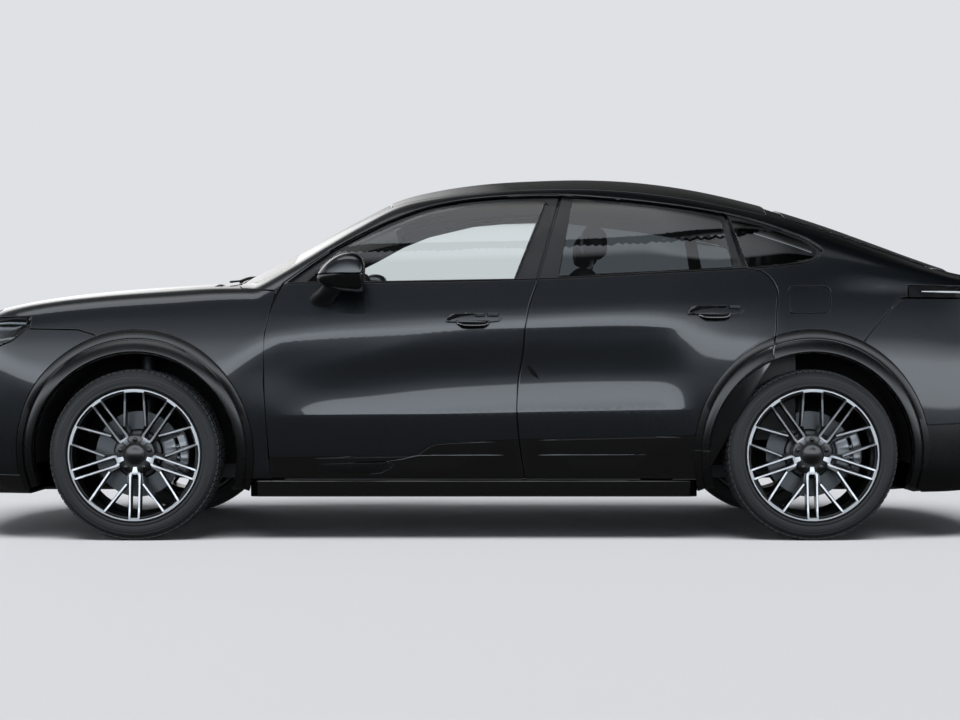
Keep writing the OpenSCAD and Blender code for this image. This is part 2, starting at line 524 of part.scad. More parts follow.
// The notches in a door's edge that take the barrels and let the leaves pass
module hinge_notches() hinge_places() {
    translate([-HINGE_ROOM, -HINGE_R - 1, -HINGE_H / 2]) translate([0, 0, -HINGE_SIDE_GAP])
        cube([HINGE_ROOM + HINGE_R + 2, 2 * HINGE_R + 60, HINGE_H + 2 * HINGE_SIDE_GAP]);
}
HINGE_SIDES = 24;
module hinge_room() for (x = [front_hinge_x, rear_hinge_x]) translate([mx(x), -my(hinge_y), mz(240)])
    cylinder(h = mz(1110) - mz(240), r = HINGE_ROOM, $fn = HINGE_SIDES);
SILL_FACE_Y = 730;
module side_frame(side) on_side(side) color(paint) {
    meshed() side_shell();
    hinge_leaves();
}
module side_shell() difference() {
    intersection() {
        shell(0, 0, wall_t, PILLAR_T, -1150, 2330);
        side_prism(side_frame_outline, -SIDE_REACH, -500);
    }
    low_cut(SILL_FACE_Y, LOW_FACE_TOP);
    door_opening(door_front_outline);
    door_opening(door_rear_outline);
    side_prism_offset(window_quarter, 0);
    side_prism_offset(fender_outline, panel_gap, -SIDE_REACH, -500);
    side_prism_offset(rear_bumper_outline, panel_gap, -SIDE_REACH, -500);
    gap_around_plan(windscreen_plan, SEAT_GAP);
    gap_around_plan(cowl_plan, SEAT_GAP);
    gap_around_plan(bonnet_plan);
    gap_around_plan(roof_plan, SEAT_GAP);
    tailgate_space(panel_gap);
    lamp_band(tail_lamp_z[0], tail_lamp_z[1], tail_lamp_x - 1);
    arch_trim_space(SEAT_GAP);
    arch_clearance();
    skirt_space();
    hinge_room();
}
SKIRT_TOP = 262;
module skirt_space() translate([-body_l, -SIDE_REACH, -10]) cube([2 * body_l, SIDE_REACH - 820, mz(SKIRT_TOP) + 10]);
skirt_profile = [[-822, 190], [-822, 261], [-893, 261], [-902, 232], [-884, 194], [-870, 189]];
module side_skirts() color(black) both_sides() difference() {
    translate([mx(-1120), 0, 0]) rotate([90, 0, 90]) linear_extrude(mx(1020) - mx(-1120))
        polygon([for (p = skirt_profile) [my(p.x), mz(p.y)]]);
    arch_trim_space(SEAT_GAP);
}
module arch_trims() color(black) meshed() difference() {
    intersection() {
        shell(-3, -3, skin_t, skin_t, -2060, 1960);
        arch_trim_space();
    }
    arch_clearance();
    both_sides() side_prism_offset(door_rear_outline, panel_gap, -SIDE_REACH, -500);
    low_cut(860, 420);
}

// ---- Floor, bays and what lies under them ----
FLOOR_Z = 352;
FLOOR_T = 16;
LOAD_FLOOR_Z = 640;
battery_x = [-900, 950];
battery_half_w = 640;
floor_half_w = SILL_FACE_Y - SEAT_GAP;
wheelhouse_y = 632;
floor_profile = [[-1130, 1040], [-1146, 1040], [-1146, 336], [1010, 336], [1100, 624], [2280, 624], [2280, 640],
    [1088, 640], [998, 352], [-1130, 352]];
module floor_pan() color(black) {
    difference() {
        translate([0, floor_half_w, 0]) rotate([90, 0, 0]) linear_extrude(2 * floor_half_w)
            polygon(stretched(floor_profile));
        both_sides() {
            translate([mx(945), wheelhouse_y, 0]) cube([body_l, SIDE_REACH, 1000]);
            translate([-body_l, liner_y[0] - SEAT_GAP, 0]) cube([body_l + mx(-1040), SIDE_REACH, mz(830)]);
        }
    }
    bonnet_brackets();
}
LINER_T = 8;
liner_y = [500, 880];
module arch_liners() color(black) both_sides() {
    arch_liner(front_x, liner_y[0]);
    arch_liner(rear_x, wheelhouse_y + SEAT_GAP);
}
module arch_liner(x, y_in) translate([x, y_in, tyre_r]) rotate([-90, 0, 0]) difference() {
    cylinder(h = liner_y[1] - y_in, r = arch_r + LINER_T, $fn = 72);
    translate([0, 0, -1]) cylinder(h = SIDE_REACH, r = arch_r, $fn = ARCH_SIDES);
    translate([-SIDE_REACH, 40, -1]) cube([2 * SIDE_REACH, SIDE_REACH, SIDE_REACH]);
}
tub_x = [-1990, -1240];
tub_half_w = 460;
tub_z = [560, 930];
TUB_T = 10;
module front_bay() color(black) {
    difference() {
        translate([mx(tub_x[0]), -tub_half_w, tub_z[0]]) cube([mx(tub_x[1]) - mx(tub_x[0]), 2 * tub_half_w, tub_z[1] - tub_z[0]]);
        translate([mx(tub_x[0]) + TUB_T, -tub_half_w + TUB_T, tub_z[0] + TUB_T])
            cube([mx(tub_x[1]) - mx(tub_x[0]) - 2 * TUB_T, 2 * (tub_half_w - TUB_T), tub_z[1]]);
    }
    translate([mx(tub_x[1]) - 1, -tub_half_w, tub_z[1] - TUB_T])
        cube([mx(-1146) - SEAT_GAP - mx(tub_x[1]) + 1, 2 * tub_half_w, TUB_T]);
    meshed() cowl();
}
module battery_pack() color([0.35, 0.36, 0.37]) translate([mx(battery_x[0]), -battery_half_w, sill_h + 6])
    cube([mx(battery_x[1]) - mx(battery_x[0]), 2 * battery_half_w, mz(336) - sill_h - 6 - SEAT_GAP]);

// ---- Running gear ----
STEER_Y = track_w / 2 - 85;
steel = [0.25, 0.26, 0.27];
RIM_BARREL_R = rim_r - 19;
BARREL_T = 14;
FLANGE_T = 9;
barrel_half_w = tyre_w / 2 - 12;
wheel_y = track_w / 2;
SPOKE_FACE = 104;
SPOKE_T = 34;
HUB_R = 86;
HUB_BACK = -26;
BOLT_HOLE_R = 9;
FORK_BAR_W = 15;
FORK_PITCH = 47;
PAIR_PITCH = 87;
PAIR_IN_R = 123;
FORK_IN_R = 96;
module bar(width, r0, r1) translate([r0, -width / 2]) square([r1 - r0, width]);
module spokes() linear_extrude(SPOKE_T) union() {
    for (a = [-90:72:269]) rotate(a) {
        for (s = [-1, 1]) translate([0, s * FORK_PITCH / 2]) bar(FORK_BAR_W, FORK_IN_R - 30, RIM_BARREL_R - 2);
        translate([FORK_IN_R - 34, -FORK_PITCH / 2]) square([20, FORK_PITCH]);
    }
    for (a = [90:72:449]) rotate(a) for (s = [-1, 1])
        translate([0, s * PAIR_PITCH / 2]) bar(FORK_BAR_W - 2, PAIR_IN_R - 60, RIM_BARREL_R - 4);
}
rim_profile = [[RIM_BARREL_R - BARREL_T, -barrel_half_w], [RIM_BARREL_R, -barrel_half_w],
    [RIM_BARREL_R, barrel_half_w], [RIM_BARREL_R - BARREL_T, barrel_half_w]];
// A wheel whose outer face looks along +Z
module rim() {
    rotate_extrude($fn = 96) {
        polygon(rim_profile);
        for (z = [-barrel_half_w - FLANGE_T, barrel_half_w])
            translate([RIM_BARREL_R - BARREL_T, z]) square([rim_r - RIM_BARREL_R + BARREL_T, FLANGE_T]);
    }
    difference() {
        union() {
            translate([0, 0, SPOKE_FACE - SPOKE_T]) spokes();
            translate([0, 0, HUB_BACK]) cylinder(h = SPOKE_FACE - HUB_BACK - 4, r = HUB_R, $fn = 72);
        }
        for (a = [90:72:449]) rotate(a) translate([bolt_circle_r, 0, 40]) cylinder(h = 100, r = BOLT_HOLE_R, $fn = 32);
    }
    translate([0, 0, HUB_BACK]) cylinder(h = DISC_T, r = disc_r, $fn = 96);
}
DISC_T = 28;
bead_r = rim_r - 14;
tyre_half = [[bead_r, barrel_half_w - SEAT_GAP], [rim_r + SEAT_GAP, barrel_half_w - SEAT_GAP],
    [rim_r + 6, barrel_half_w + 6], [rim_r + 30, tyre_w / 2], [tyre_r - 32, tyre_w / 2 - 5],
    [tyre_r - 8, tyre_w / 2 - 20], [tyre_r, tyre_w / 2 - 46]];
tyre_bore = [[tyre_r - 22, tyre_w / 2 - 30], [bead_r, barrel_half_w - 16]];
function both_ends(points) = concat(points, [for (p = reversed(points)) [p.x, -p.y]]);
module tyre() rotate_extrude($fn = 96) difference() {
    polygon(both_ends(tyre_half));
    polygon(both_ends([tyre_bore[1], tyre_bore[0]]));
}
// Puts a wheel, with its outer face along +Z, at a corner of the car
module at_corner(x, side) on_side(side) translate([x, -wheel_y, tyre_r]) rotate([90, 0, 0]) children();
module wheel(x, side) color(steel) at_corner(x, side) rim();
module tyre_at(x, side) color(black) at_corner(x, side) tyre();

HUB_GAP = 0.5;
CALIPER_ROOM = 6;
post_z = [300, 440];
POST_R = 30;
CALIPER_IN_R = 118;
CALIPER_OUT_R = 222;
CALIPER_ARC = 46;
CALIPER_ANGLE = -20;
module sector(r0, r1, h, a0, a1) intersection() {
    difference() {
        cylinder(h = h, r = r1, $fn = 72);
        translate([0, 0, -1]) cylinder(h = h + 2, r = r0, $fn = 72);
    }
    translate([0, 0, -2]) linear_extrude(h + 4) polygon([[0, 0],
        for (a = [a0, (a0 + a1) / 2, a1]) [1.5 * r1 * cos(a), 1.5 * r1 * sin(a)]]);
}
// A hub carrier with its brake caliper, around a wheel whose outer face looks along +Z; the caliper is at angle a
module carrier(a) {
    back = HUB_BACK - HUB_GAP;
    inner = back - CALIPER_ROOM;
    translate([0, 0, STEER_Y - wheel_y]) cylinder(h = back - STEER_Y + wheel_y, r = 44, $fn = 48);
    translate([0, 0, inner - 26]) difference() {
        sector(0, CALIPER_OUT_R, 26, a, a + CALIPER_ARC);
        translate([0, 0, -1]) cylinder(h = 40, r = 40, $fn = 48);
    }
    translate([0, 0, inner - 26]) sector(disc_r + CALIPER_ROOM, CALIPER_OUT_R, 26 + 2 * CALIPER_ROOM + DISC_T + 30, a,
        a + CALIPER_ARC);
    translate([0, 0, HUB_BACK + DISC_T + CALIPER_ROOM]) sector(CALIPER_IN_R, CALIPER_OUT_R, 30, a, a + CALIPER_ARC);
}
module knuckle(side) color(steel) {
    at_corner(front_x, side) carrier(CALIPER_ANGLE);
    translate([front_x, side * STEER_Y, post_z[0]]) cylinder(h = post_z[1] - post_z[0], r = POST_R, $fn = 48);
}
SUBFRAME_Z = [236, 330];
ARM_T = 26;
ARM_GAP = 0.5;
STRUT_R = 34;
STRUT_TOP = 786;
strut_y = STEER_Y - 150;
motor_l = 560;
MOTOR_R = 165;
module arms(x, reach) both_sides() for (z = [post_z[0] - ARM_T - ARM_GAP, post_z[1] + ARM_GAP])
    translate([x, 380, z]) linear_extrude(ARM_T) polygon([[-170, 0], [170, 0], [32, reach - 380], [-32, reach - 380]]);
module axle_frame(x, strut_top) color(steel) {
    difference() {
        translate([x - 250, -400, SUBFRAME_Z[0]]) cube([500, 800, SUBFRAME_Z[1] - SUBFRAME_Z[0] + 120]);
        translate([x - 200, -340, SUBFRAME_Z[0] - 1]) cube([400, 680, 300]);
    }
    translate([x, motor_l / 2, SUBFRAME_Z[1] + 50]) rotate([90, 0, 0]) cylinder(h = motor_l, r = MOTOR_R, $fn = 72);
    translate([x - 240, -60, SUBFRAME_Z[1] + 40]) cube([480, 120, 60]);
    arms(x, STEER_Y);
    both_sides() translate([x, strut_y, post_z[1] + ARM_T]) cylinder(h = strut_top - post_z[1] - ARM_T, r = STRUT_R,
        $fn = 48);
}
RAIL_W = 60;
RAIL_Y = 320;
// Rails that carry an axle frame under the floor
module rails(x0, x1) color(steel) both_sides() translate([x0, RAIL_Y, SUBFRAME_Z[0]])
    cube([x1 - x0, RAIL_W, mz(336) - SEAT_GAP - SUBFRAME_Z[0]]);
module front_axle_frame() {
    axle_frame(front_x, STRUT_TOP);
    rails(front_x + 200, mx(battery_x[0]) - 40);
}
module rear_axle_frame() {
    rails(mx(battery_x[1]) + 5, rear_x - 200);
    axle_frame(rear_x, mz(LOAD_FLOOR_Z) - FLOOR_T - SEAT_GAP);
    color(steel) for (side = [-1, 1]) {
        at_corner(rear_x, side) carrier(CALIPER_ANGLE);
        translate([rear_x, side * STEER_Y, post_z[0] - ARM_GAP])
            cylinder(h = post_z[1] - post_z[0] + 2 * ARM_GAP, r = POST_R, $fn = 48);
    }
}

// ---- Cabin ----
seat_y = 372;
seat_w = 500;
cloth = [0.07, 0.07, 0.075];
front_seat_profile = [[-330, 420], [230, 420], [330, 470], [520, 1150], [500, 1185], [430, 1185], [390, 1140],
    [215, 660], [180, 600], [-300, 640], [-345, 600]];
front_head_profile = [[440, 1225], [560, 1225], [560, 1360], [470, 1395], [440, 1370]];
SEAT_BASE = [-260, 220];
module seat_block(profile, y, w) translate([0, y + w / 2, 0]) rotate([90, 0, 0]) linear_extrude(w)
    polygon(stretched(profile));
module front_seats() color(cloth) for (y = [-seat_y, seat_y]) {
    seat_block(front_seat_profile, y, seat_w);
    seat_block(front_head_profile, y, 260);
    for (s = [-1, 1]) translate([mx(480), y + s * 60, mz(1170)])
        cylinder(h = mz(1240) - mz(1170), r = 7, $fn = 24);
    translate([mx(SEAT_BASE[0]), y - 190, mz(FLOOR_Z) + SEAT_GAP]) cube([mx(SEAT_BASE[1]) - mx(SEAT_BASE[0]), 380, 70]);
}
bench_profile = [[700, 352.3], [980, 352.3], [1062, 615], [1068, 640.3], [1200, 640.3], [1330, 1110], [1300, 1150], [1230, 1150],
    [1190, 1110], [1075, 740], [690, 690], [650, 640]];
bench_head_profile = [[1240, 1170], [1330, 1170], [1330, 1270], [1260, 1290]];
bench_w = 1240;
module rear_bench() color(cloth) {
    seat_block(bench_profile, 0, bench_w);
    for (y = [-400, 0, 400]) {
        seat_block(bench_head_profile, y, 220);
        for (s = [-1, 1]) translate([mx(1275), y + s * 50, mz(1130)])
            cylinder(h = mz(1180) - mz(1130), r = 7, $fn = 24);
    }
}
dash_profile = [[-1129.7, 620], [-800, 640], [-640, 760], [-610, 900], [-640, 1000], [-760, 1050], [-1129.7, 1039]];
console_x = [-720, 160];
console_half_w = 105;
module dashboard() color(cloth) {
    seat_block(dash_profile, 0, 1420);
    translate([mx(console_x[0]), -console_half_w, mz(FLOOR_Z) + SEAT_GAP])
        cube([mx(console_x[1]) - mx(console_x[0]), 2 * console_half_w, 300]);
}
column_angle = 24;
column_l = 156;
steering_wheel_r = 178;
// The middle of the column's end at the dashboard's face
column_foot = [-616.5, 919.5];
module steering_wheel() color(black) translate([mx(column_foot.x), -seat_y, mz(column_foot.y)])
    rotate([0, 90 - column_angle, 0]) translate([0, 0, 3.9]) {
        cylinder(h = column_l, r = 28, $fn = 36);
        translate([0, 0, column_l - 20]) cylinder(h = 46, r = 66, $fn = 48);
        translate([0, 0, column_l]) {
            rotate_extrude($fn = 72) translate([steering_wheel_r, 0]) circle(r = 15, $fn = 32);
            for (a = [0, 90, 270]) rotate(a) translate([0, -16, -8]) cube([steering_wheel_r, 32, 16]);
        }
    }
mirror_at = [-600, 985, 1100];
module mirror_house(side) on_side(side) color(paint) meshed() difference() {
    union() {
        hull() for (p = [[-70, 60, 20], [-70, -60, 10], [60, 80, 0], [60, -70, -5], [50, 60, 45], [50, -50, 45]])
            translate([mx(mirror_at.x) + p.x, -mirror_at.y + p.y / 1.0 - 10, mz(mirror_at.z) + p.z + 20])
                sphere(r = 34, $fn = 14);
        hull() {
            translate([mx(mirror_at.x) + 20, -mirror_at.y + 60, mz(mirror_at.z) - 5]) sphere(r = 20, $fn = 12);
            translate([mx(mirror_at.x) + 10, -880, mz(1040)]) sphere(r = 24, $fn = 12);
        }
    }
    body_solid(-0.4, -0.4, -900, -300);
}

roof_panel();
side_frame(-1);  // side_frame_left
side_frame(1);  // side_frame_right
floor_pan();
front_bay();
bonnet();
fenders();
front_bumper();
rear_bumper();
windscreen();
quarter_glass();
tailgate();
rear_glass();
light_bar();
headlamps();
tail_lamps();
arch_trims();
side_skirts();
arch_liners();
door_front(-1);  // door_front_left
door_front(1);  // door_front_right
door_rear(-1);  // door_rear_left
door_rear(1);  // door_rear_right
door_glass_front(-1);  // door_glass_front_left
door_glass_front(1);  // door_glass_front_right
door_glass_rear(-1);  // door_glass_rear_left
door_glass_rear(1);  // door_glass_rear_right
mirror_house(-1);  // mirror_left
mirror_house(1);  // mirror_right
wheel(front_x, -1);  // wheel_front_left
wheel(front_x, 1);  // wheel_front_right
wheel(rear_x, -1);  // wheel_rear_left
wheel(rear_x, 1);  // wheel_rear_right
tyre_at(front_x, -1);  // tyre_front_left
tyre_at(front_x, 1);  // tyre_front_right
tyre_at(rear_x, -1);  // tyre_rear_left
tyre_at(rear_x, 1);  // tyre_rear_right
knuckle(-1);  // knuckle_left
knuckle(1);  // knuckle_right
front_axle_frame();
rear_axle_frame();
battery_pack();
front_seats();
rear_bench();
dashboard();
steering_wheel();
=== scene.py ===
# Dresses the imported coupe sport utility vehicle: painted skins, glass, lamps, wheels, tyres and cabin.
# The nose points to -X, the left side to -Y and Z = 0 is the ground.
# Curves are in millimetres, meshes in metres.
import bpy
import bmesh
import math
import numpy as np
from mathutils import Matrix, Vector
from mathutils.geometry import delaunay_2d_cdt


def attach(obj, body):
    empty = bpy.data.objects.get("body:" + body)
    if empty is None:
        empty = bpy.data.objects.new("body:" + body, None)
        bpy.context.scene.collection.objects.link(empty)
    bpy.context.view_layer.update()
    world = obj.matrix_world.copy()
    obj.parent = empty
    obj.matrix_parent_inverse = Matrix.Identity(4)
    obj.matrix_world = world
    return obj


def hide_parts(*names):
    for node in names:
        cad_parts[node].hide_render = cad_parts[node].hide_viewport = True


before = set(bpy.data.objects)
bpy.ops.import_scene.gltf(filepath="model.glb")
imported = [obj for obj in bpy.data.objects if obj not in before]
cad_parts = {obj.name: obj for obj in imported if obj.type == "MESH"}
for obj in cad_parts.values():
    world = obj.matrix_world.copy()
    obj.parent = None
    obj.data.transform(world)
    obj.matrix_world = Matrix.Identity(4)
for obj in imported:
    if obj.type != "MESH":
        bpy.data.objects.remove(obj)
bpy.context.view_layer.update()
print("frame loaded")

# The body's surface: curves along the car that every skin is laid on
bodyCurves = {
    "doorSide": [(130, 760), (190, 850), (270, 893), (350, 908), (440, 923), (538, 936), (700, 938),
                 (905, 941), (1000, 927), (1095, 885), (1250, 800)],
    "fenderSide": [(130, 760), (190, 856), (270, 905), (400, 940), (550, 958), (700, 966), (780, 966),
                   (900, 954), (1000, 930), (1095, 885), (1250, 790)],
    "planShare": [(-2500, .89), (-2392, .915), (-2200, .955), (-2000, .985), (-1800, .998), (-1494, 1),
                  (1399, 1), (1700, .993), (1900, .978), (2100, .95), (2250, .92), (2392, .885), (2500, .86)],
    "beltLine": [(-2500, 1085), (-1150, 1085), (-846, 1087), (-508, 1091), (-20, 1104), (375, 1114),
                 (770, 1134), (1010, 1149), (1171, 1168), (1306, 1186), (1450, 1200), (1700, 1196),
                 (2000, 1160), (2300, 1110), (2500, 1080)],
    "beltHalfWidth": [(-2500, 842), (-1150, 842), (-850, 866), (-400, 880), (100, 884), (600, 882),
                      (1000, 868), (1300, 842), (1600, 802), (1900, 756), (2150, 716), (2392, 680),
                      (2500, 660)],
    "bonnetLine": [(-2500, 640), (-2392, 810), (-2340, 902), (-2256, 974), (-2118, 1020), (-1985, 1050),
                   (-1895, 1064), (-1686, 1088), (-1400, 1110), (-1150, 1124), (-900, 1118), (-600, 1060),
                   (2500, 700)],
    "roofLine": [(-2500, 500), (-1500, 948), (-1152, 1115), (-836, 1277), (-560, 1428), (-391, 1512),
                 (-200, 1562), (-31, 1588), (257, 1608), (466, 1612), (674, 1603), (951, 1567), (1231, 1504),
                 (1508, 1421), (1787, 1320), (1967, 1252), (2120, 1200), (2250, 1172), (2320, 1160),
                 (2500, 1130)],
    "roofCrown": [(-2500, 24), (-1152, 24), (-391, 25), (0, 34), (466, 38), (1500, 36), (2150, 26),
                  (2500, 20)],
    "lowCrease": [(-1000, 534), (-500, 539), (-200, 541), (100, 547), (400, 553), (700, 558), (1000, 561)],
    "scoopHeight": [(-1000, 170), (-800, 210), (-500, 270), (-200, 360), (100, 405), (400, 435), (700, 430),
                    (1000, 400)],
    "shoulder": [(-1000, 815), (-800, 870), (-500, 889), (-200, 898), (100, 905), (400, 910), (700, 912),
                 (900, 900)],
    "noseLine": [(130, -2260), (190, -2310), (300, -2362), (450, -2385), (600, -2392), (750, -2386),
                 (850, -2368), (950, -2335), (1050, -2290), (1700, -2000)],
    "tailLine": [(130, 2240), (190, 2290), (260, 2340), (380, 2372), (520, 2388), (650, 2392), (770, 2388),
                 (830, 2374), (900, 2352), (1000, 2338), (1090, 2330), (1150, 2324), (1700, 2300)],
}
bodyShape = {"glassLean": .575, "glassBulge": 12, "scoopSlope": .29, "shoulderSlope": .1, "shoulderReach": 40,
             "frontAxleX": -1494, "rearAxleX": 1399, "axleZ": 365, "archRadius": 436, "trimWidth": 78,
             "trimRise": 28}


def curveThrough(points):
    # Cubic through the points with the same knot slopes as the solids, so both surfaces agree
    x, y = np.array(points, float).T
    h = np.diff(x)
    step = np.diff(y) / h
    slope = np.concatenate([[step[0]], (step[:-1] * h[1:] + step[1:] * h[:-1]) / (h[1:] + h[:-1]),
                            [step[-1]]])

    def value(t):
        t = np.clip(t, x[0], x[-1])
        i = np.clip(np.searchsorted(x, t) - 1, 0, len(h) - 1)
        w = (t - x[i]) / h[i]
        w2, w3 = w * w, w * w * w
        return ((2 * w3 - 3 * w2 + 1) * y[i] + (w3 - 2 * w2 + w) * h[i] * slope[i]
                + (3 * w2 - 2 * w3) * y[i + 1] + (w3 - w2) * h[i] * slope[i + 1])

    return value


curve = {name: curveThrough(points) for name, points in bodyCurves.items()}


def ease(t, a, b):
    t = np.clip((t - a) / (b - a), 0, 1)
    return t * t * (3 - 2 * t)


def softMax(a, b, k):
    h = np.maximum(k - np.abs(a - b), 0) / k
    return np.maximum(a, b) + h * h * h * k / 6


def softMin(a, b, k):
    return -softMax(-a, -b, k)


def lowerHalfWidth(x, z):
    s = bodyShape
    zz = z - (curve["beltLine"](x) - 1095) * ease(z, 850, 1095)
    arch = 1 - ease(x, -1200, -850) + ease(x, 650, 1050)
    side = curve["doorSide"](zz) * (1 - arch) + curve["fenderSide"](zz) * arch
    height = curve["scoopHeight"](x)
    t = np.clip((z - curve["lowCrease"](x)) / height, 0, 1)
    scoop = ease(x, -980, -600) * (1 - ease(x, 740, 930)) * s["scoopSlope"] * height * t * (1 - t) ** 2
    up = z - curve["shoulder"](x)  # a shoulder crease: flatter just below it, so light breaks there
    rise = (s["shoulderSlope"] * np.clip(up + s["shoulderReach"], 0, s["shoulderReach"]) ** 2 / 2
            / s["shoulderReach"])
    rise = rise * (1 - ease(up, 0, 170)) * ease(x, -980, -820) * (1 - ease(x, 760, 900))
    return (side * curve["planShare"](x) - ease(zz, 860, 1095) * (885 - curve["beltHalfWidth"](x)) - scoop
            + rise)


def halfWidth(x, z):
    tub = lowerHalfWidth(x, z)
    up = z - curve["beltLine"](x)
    t = up / 380
    glass = (curve["beltHalfWidth"](x) - bodyShape["glassLean"] * up
             + 4 * bodyShape["glassBulge"] * t * (1 - t))
    rear = ease(x, 1350, 1750)
    high = ease(z, 1050, 1250)
    low = softMin(tub, glass, 20)
    return (low * (1 - rear) + softMax(np.minimum(tub, 1200), glass, 120) * rear * high
            + low * rear * (1 - high))


def bodyLevel(p):
    # Below zero inside the body, about the depth under its skin
    x, y, z = p[:, 0], np.abs(p[:, 1]), p[:, 2]
    side = np.power(y / 800, 2.4)
    end = np.where(x < 0, curve["noseLine"](z) + 130 * side - x, x - curve["tailLine"](z) + 150 * side)
    around = softMax(y - halfWidth(x, z), end, np.where(x < 0, 350., 300.))
    over = softMax(curve["bonnetLine"](x) - 40 * np.power(y / 800, 2.2),
                   curve["roofLine"](x) - curve["roofCrown"](x) * np.power(y / 400, 2.2), 14)
    return softMax(around, z - over, np.interp(x, [-1300, -900, 1700, 2150], [110, 80, 80, 26]))


def bodyNormals(p, reach=1.5):
    g = np.stack([bodyLevel(p + np.eye(3)[k] * reach) - bodyLevel(p - np.eye(3)[k] * reach)
                  for k in range(3)], 1)
    return g / np.linalg.norm(g, axis=1)[:, None]


def alongRays(origin, direction, depth=0., far=1500.):
    low, high = np.zeros(len(origin)), np.full(len(origin), far)
    for _ in range(30):
        mid = (low + high) / 2
        inside = bodyLevel(origin + direction * mid[:, None]) < -depth
        low, high = np.where(inside, mid, low), np.where(inside, high, mid)
    return origin + direction * low[:, None]


def centreZ(x):
    return np.interp(x, [-2500, -2300, -900, 1500, 2100, 2300, 2500], [600, 600, 740, 740, 700, 650, 650])


# Planes on which panels are laid out: a plane point gives a ray, and a surface point gives its plane point
planeShape = {"fanRadius": 900, "noseX": -1350, "tailX": 1400, "endRadius": 1000, "pitchX": 1850,
              "pitchZ": 800, "pitchRadius": 620}


def planeRays(kind, u, v):
    s = planeShape
    zero = np.zeros(len(u))
    if kind == "fan":
        a = v / s["fanRadius"]
        return np.stack([u, zero, centreZ(u)], 1), np.stack([zero, -np.cos(a), np.sin(a)], 1)
    if kind == "top":
        return np.stack([u, v, zero + 560], 1), np.stack([zero, zero, zero + 1], 1)
    if kind == "pitch":
        a = v / s["pitchRadius"]
        return (np.stack([zero + s["pitchX"], u, zero + s["pitchZ"]], 1),
                np.stack([np.cos(a), zero, np.sin(a)], 1))
    a = u / s["endRadius"]
    sign = -1 if kind == "nose" else 1
    x = s["noseX"] if kind == "nose" else s["tailX"]
    return np.stack([zero + x, zero, v], 1), np.stack([sign * np.cos(a), -np.sin(a), zero], 1)


def planePoints(kind, p):
    if p.shape[1] == 2:
        return p
    s = planeShape
    if kind == "fan":
        return np.stack([p[:, 0], np.arctan2(p[:, 2] - centreZ(p[:, 0]), -p[:, 1]) * s["fanRadius"]], 1)
    if kind == "top":
        return p[:, :2].copy()
    if kind == "pitch":
        return np.stack([p[:, 1], np.arctan2(p[:, 2] - s["pitchZ"], p[:, 0] - s["pitchX"])
                         * s["pitchRadius"]], 1)
    x = s["noseX"] if kind == "nose" else s["tailX"]
    return np.stack([np.arctan2(-p[:, 1], np.abs(p[:, 0] - x)) * s["endRadius"], p[:, 2]], 1)


def fromSide(points):
    # Side-view points laid on the left side of the surface
    p = np.array(points, float)
    zero = np.zeros(len(p))
    x = np.clip(p[:, 0], -2391, 2391)
    return alongRays(np.stack([x, zero, p[:, 1]], 1), np.tile([0., -1, 0], (len(p), 1)))


def fromPlan(points):
    p = np.array(points, float)
    zero = np.zeros(len(p))
    return alongRays(np.stack([p[:, 0], p[:, 1], zero + 560], 1), np.tile([0., 0, 1], (len(p), 1)))


# Outlines of the panels, drawn from the side or from above
def dense(points, step=6., closed=True, soft=0):
    # Even steps along a line; soft rounds its corners
    p = np.array(points, float)
    if closed:
        p = np.vstack([p, p[:1]])
    gaps = np.linalg.norm(np.diff(p, axis=0), axis=1)
    keep = np.concatenate([[True], gaps > 1e-6])
    p = p[keep]
    run = np.concatenate([[0], np.cumsum(np.linalg.norm(np.diff(p, axis=0), axis=1))])
    n = max(8 if closed else 2, int(run[-1] / step))
    t = np.linspace(0, run[-1], n + 1)
    q = np.stack([np.interp(t, run, p[:, k]) for k in range(p.shape[1])], 1)
    if closed:
        q = q[:-1]
    for _ in range(soft):
        if closed:
            q = (np.roll(q, 1, 0) + 2 * q + np.roll(q, -1, 0)) / 4
        else:
            q[1:-1] = (q[:-2] + 2 * q[1:-1] + q[2:]) / 4
    return q


def flow(points, step=10.):
    # A smooth line through a few points
    p = np.array(points, float)
    run = np.concatenate([[0], np.cumsum(np.linalg.norm(np.diff(p, axis=0), axis=1))])
    t = np.linspace(0, run[-1], max(3, int(run[-1] / step)))
    return [tuple(q) for q in np.stack([curveThrough(list(zip(run, p[:, k])))(t)
                                        for k in range(p.shape[1])], 1)]


def grown(loop, by):
    # The loop moved outwards by a distance
    p = np.array(loop, float)
    area = np.sum(p[:, 0] * np.roll(p[:, 1], -1) - np.roll(p[:, 0], -1) * p[:, 1])
    e = np.roll(p, -1, 0) - p
    e /= np.maximum(np.linalg.norm(e, axis=1), 1e-9)[:, None]
    n = np.stack([e[:, 1], -e[:, 0]], 1) * (1 if area > 0 else -1)
    m = n + np.roll(n, 1, 0)
    m /= np.maximum(np.sum(m * m, axis=1) / 2, .35)[:, None]
    return p + m * by


def mirroredLoop(points):
    # A half outline from the middle of the car and its mirror image as one loop
    return list(points) + [(x, -y) for x, y in reversed(list(points))]


def arcPoints(cx, cz, rx, rz, a0, a1, n=24):
    return [(cx + rx * math.cos(math.radians(a0 + (a1 - a0) * k / n)),
             cz + rz * math.sin(math.radians(a0 + (a1 - a0) * k / n))) for k in range(n + 1)]


def back(points):
    return list(reversed(list(points)))


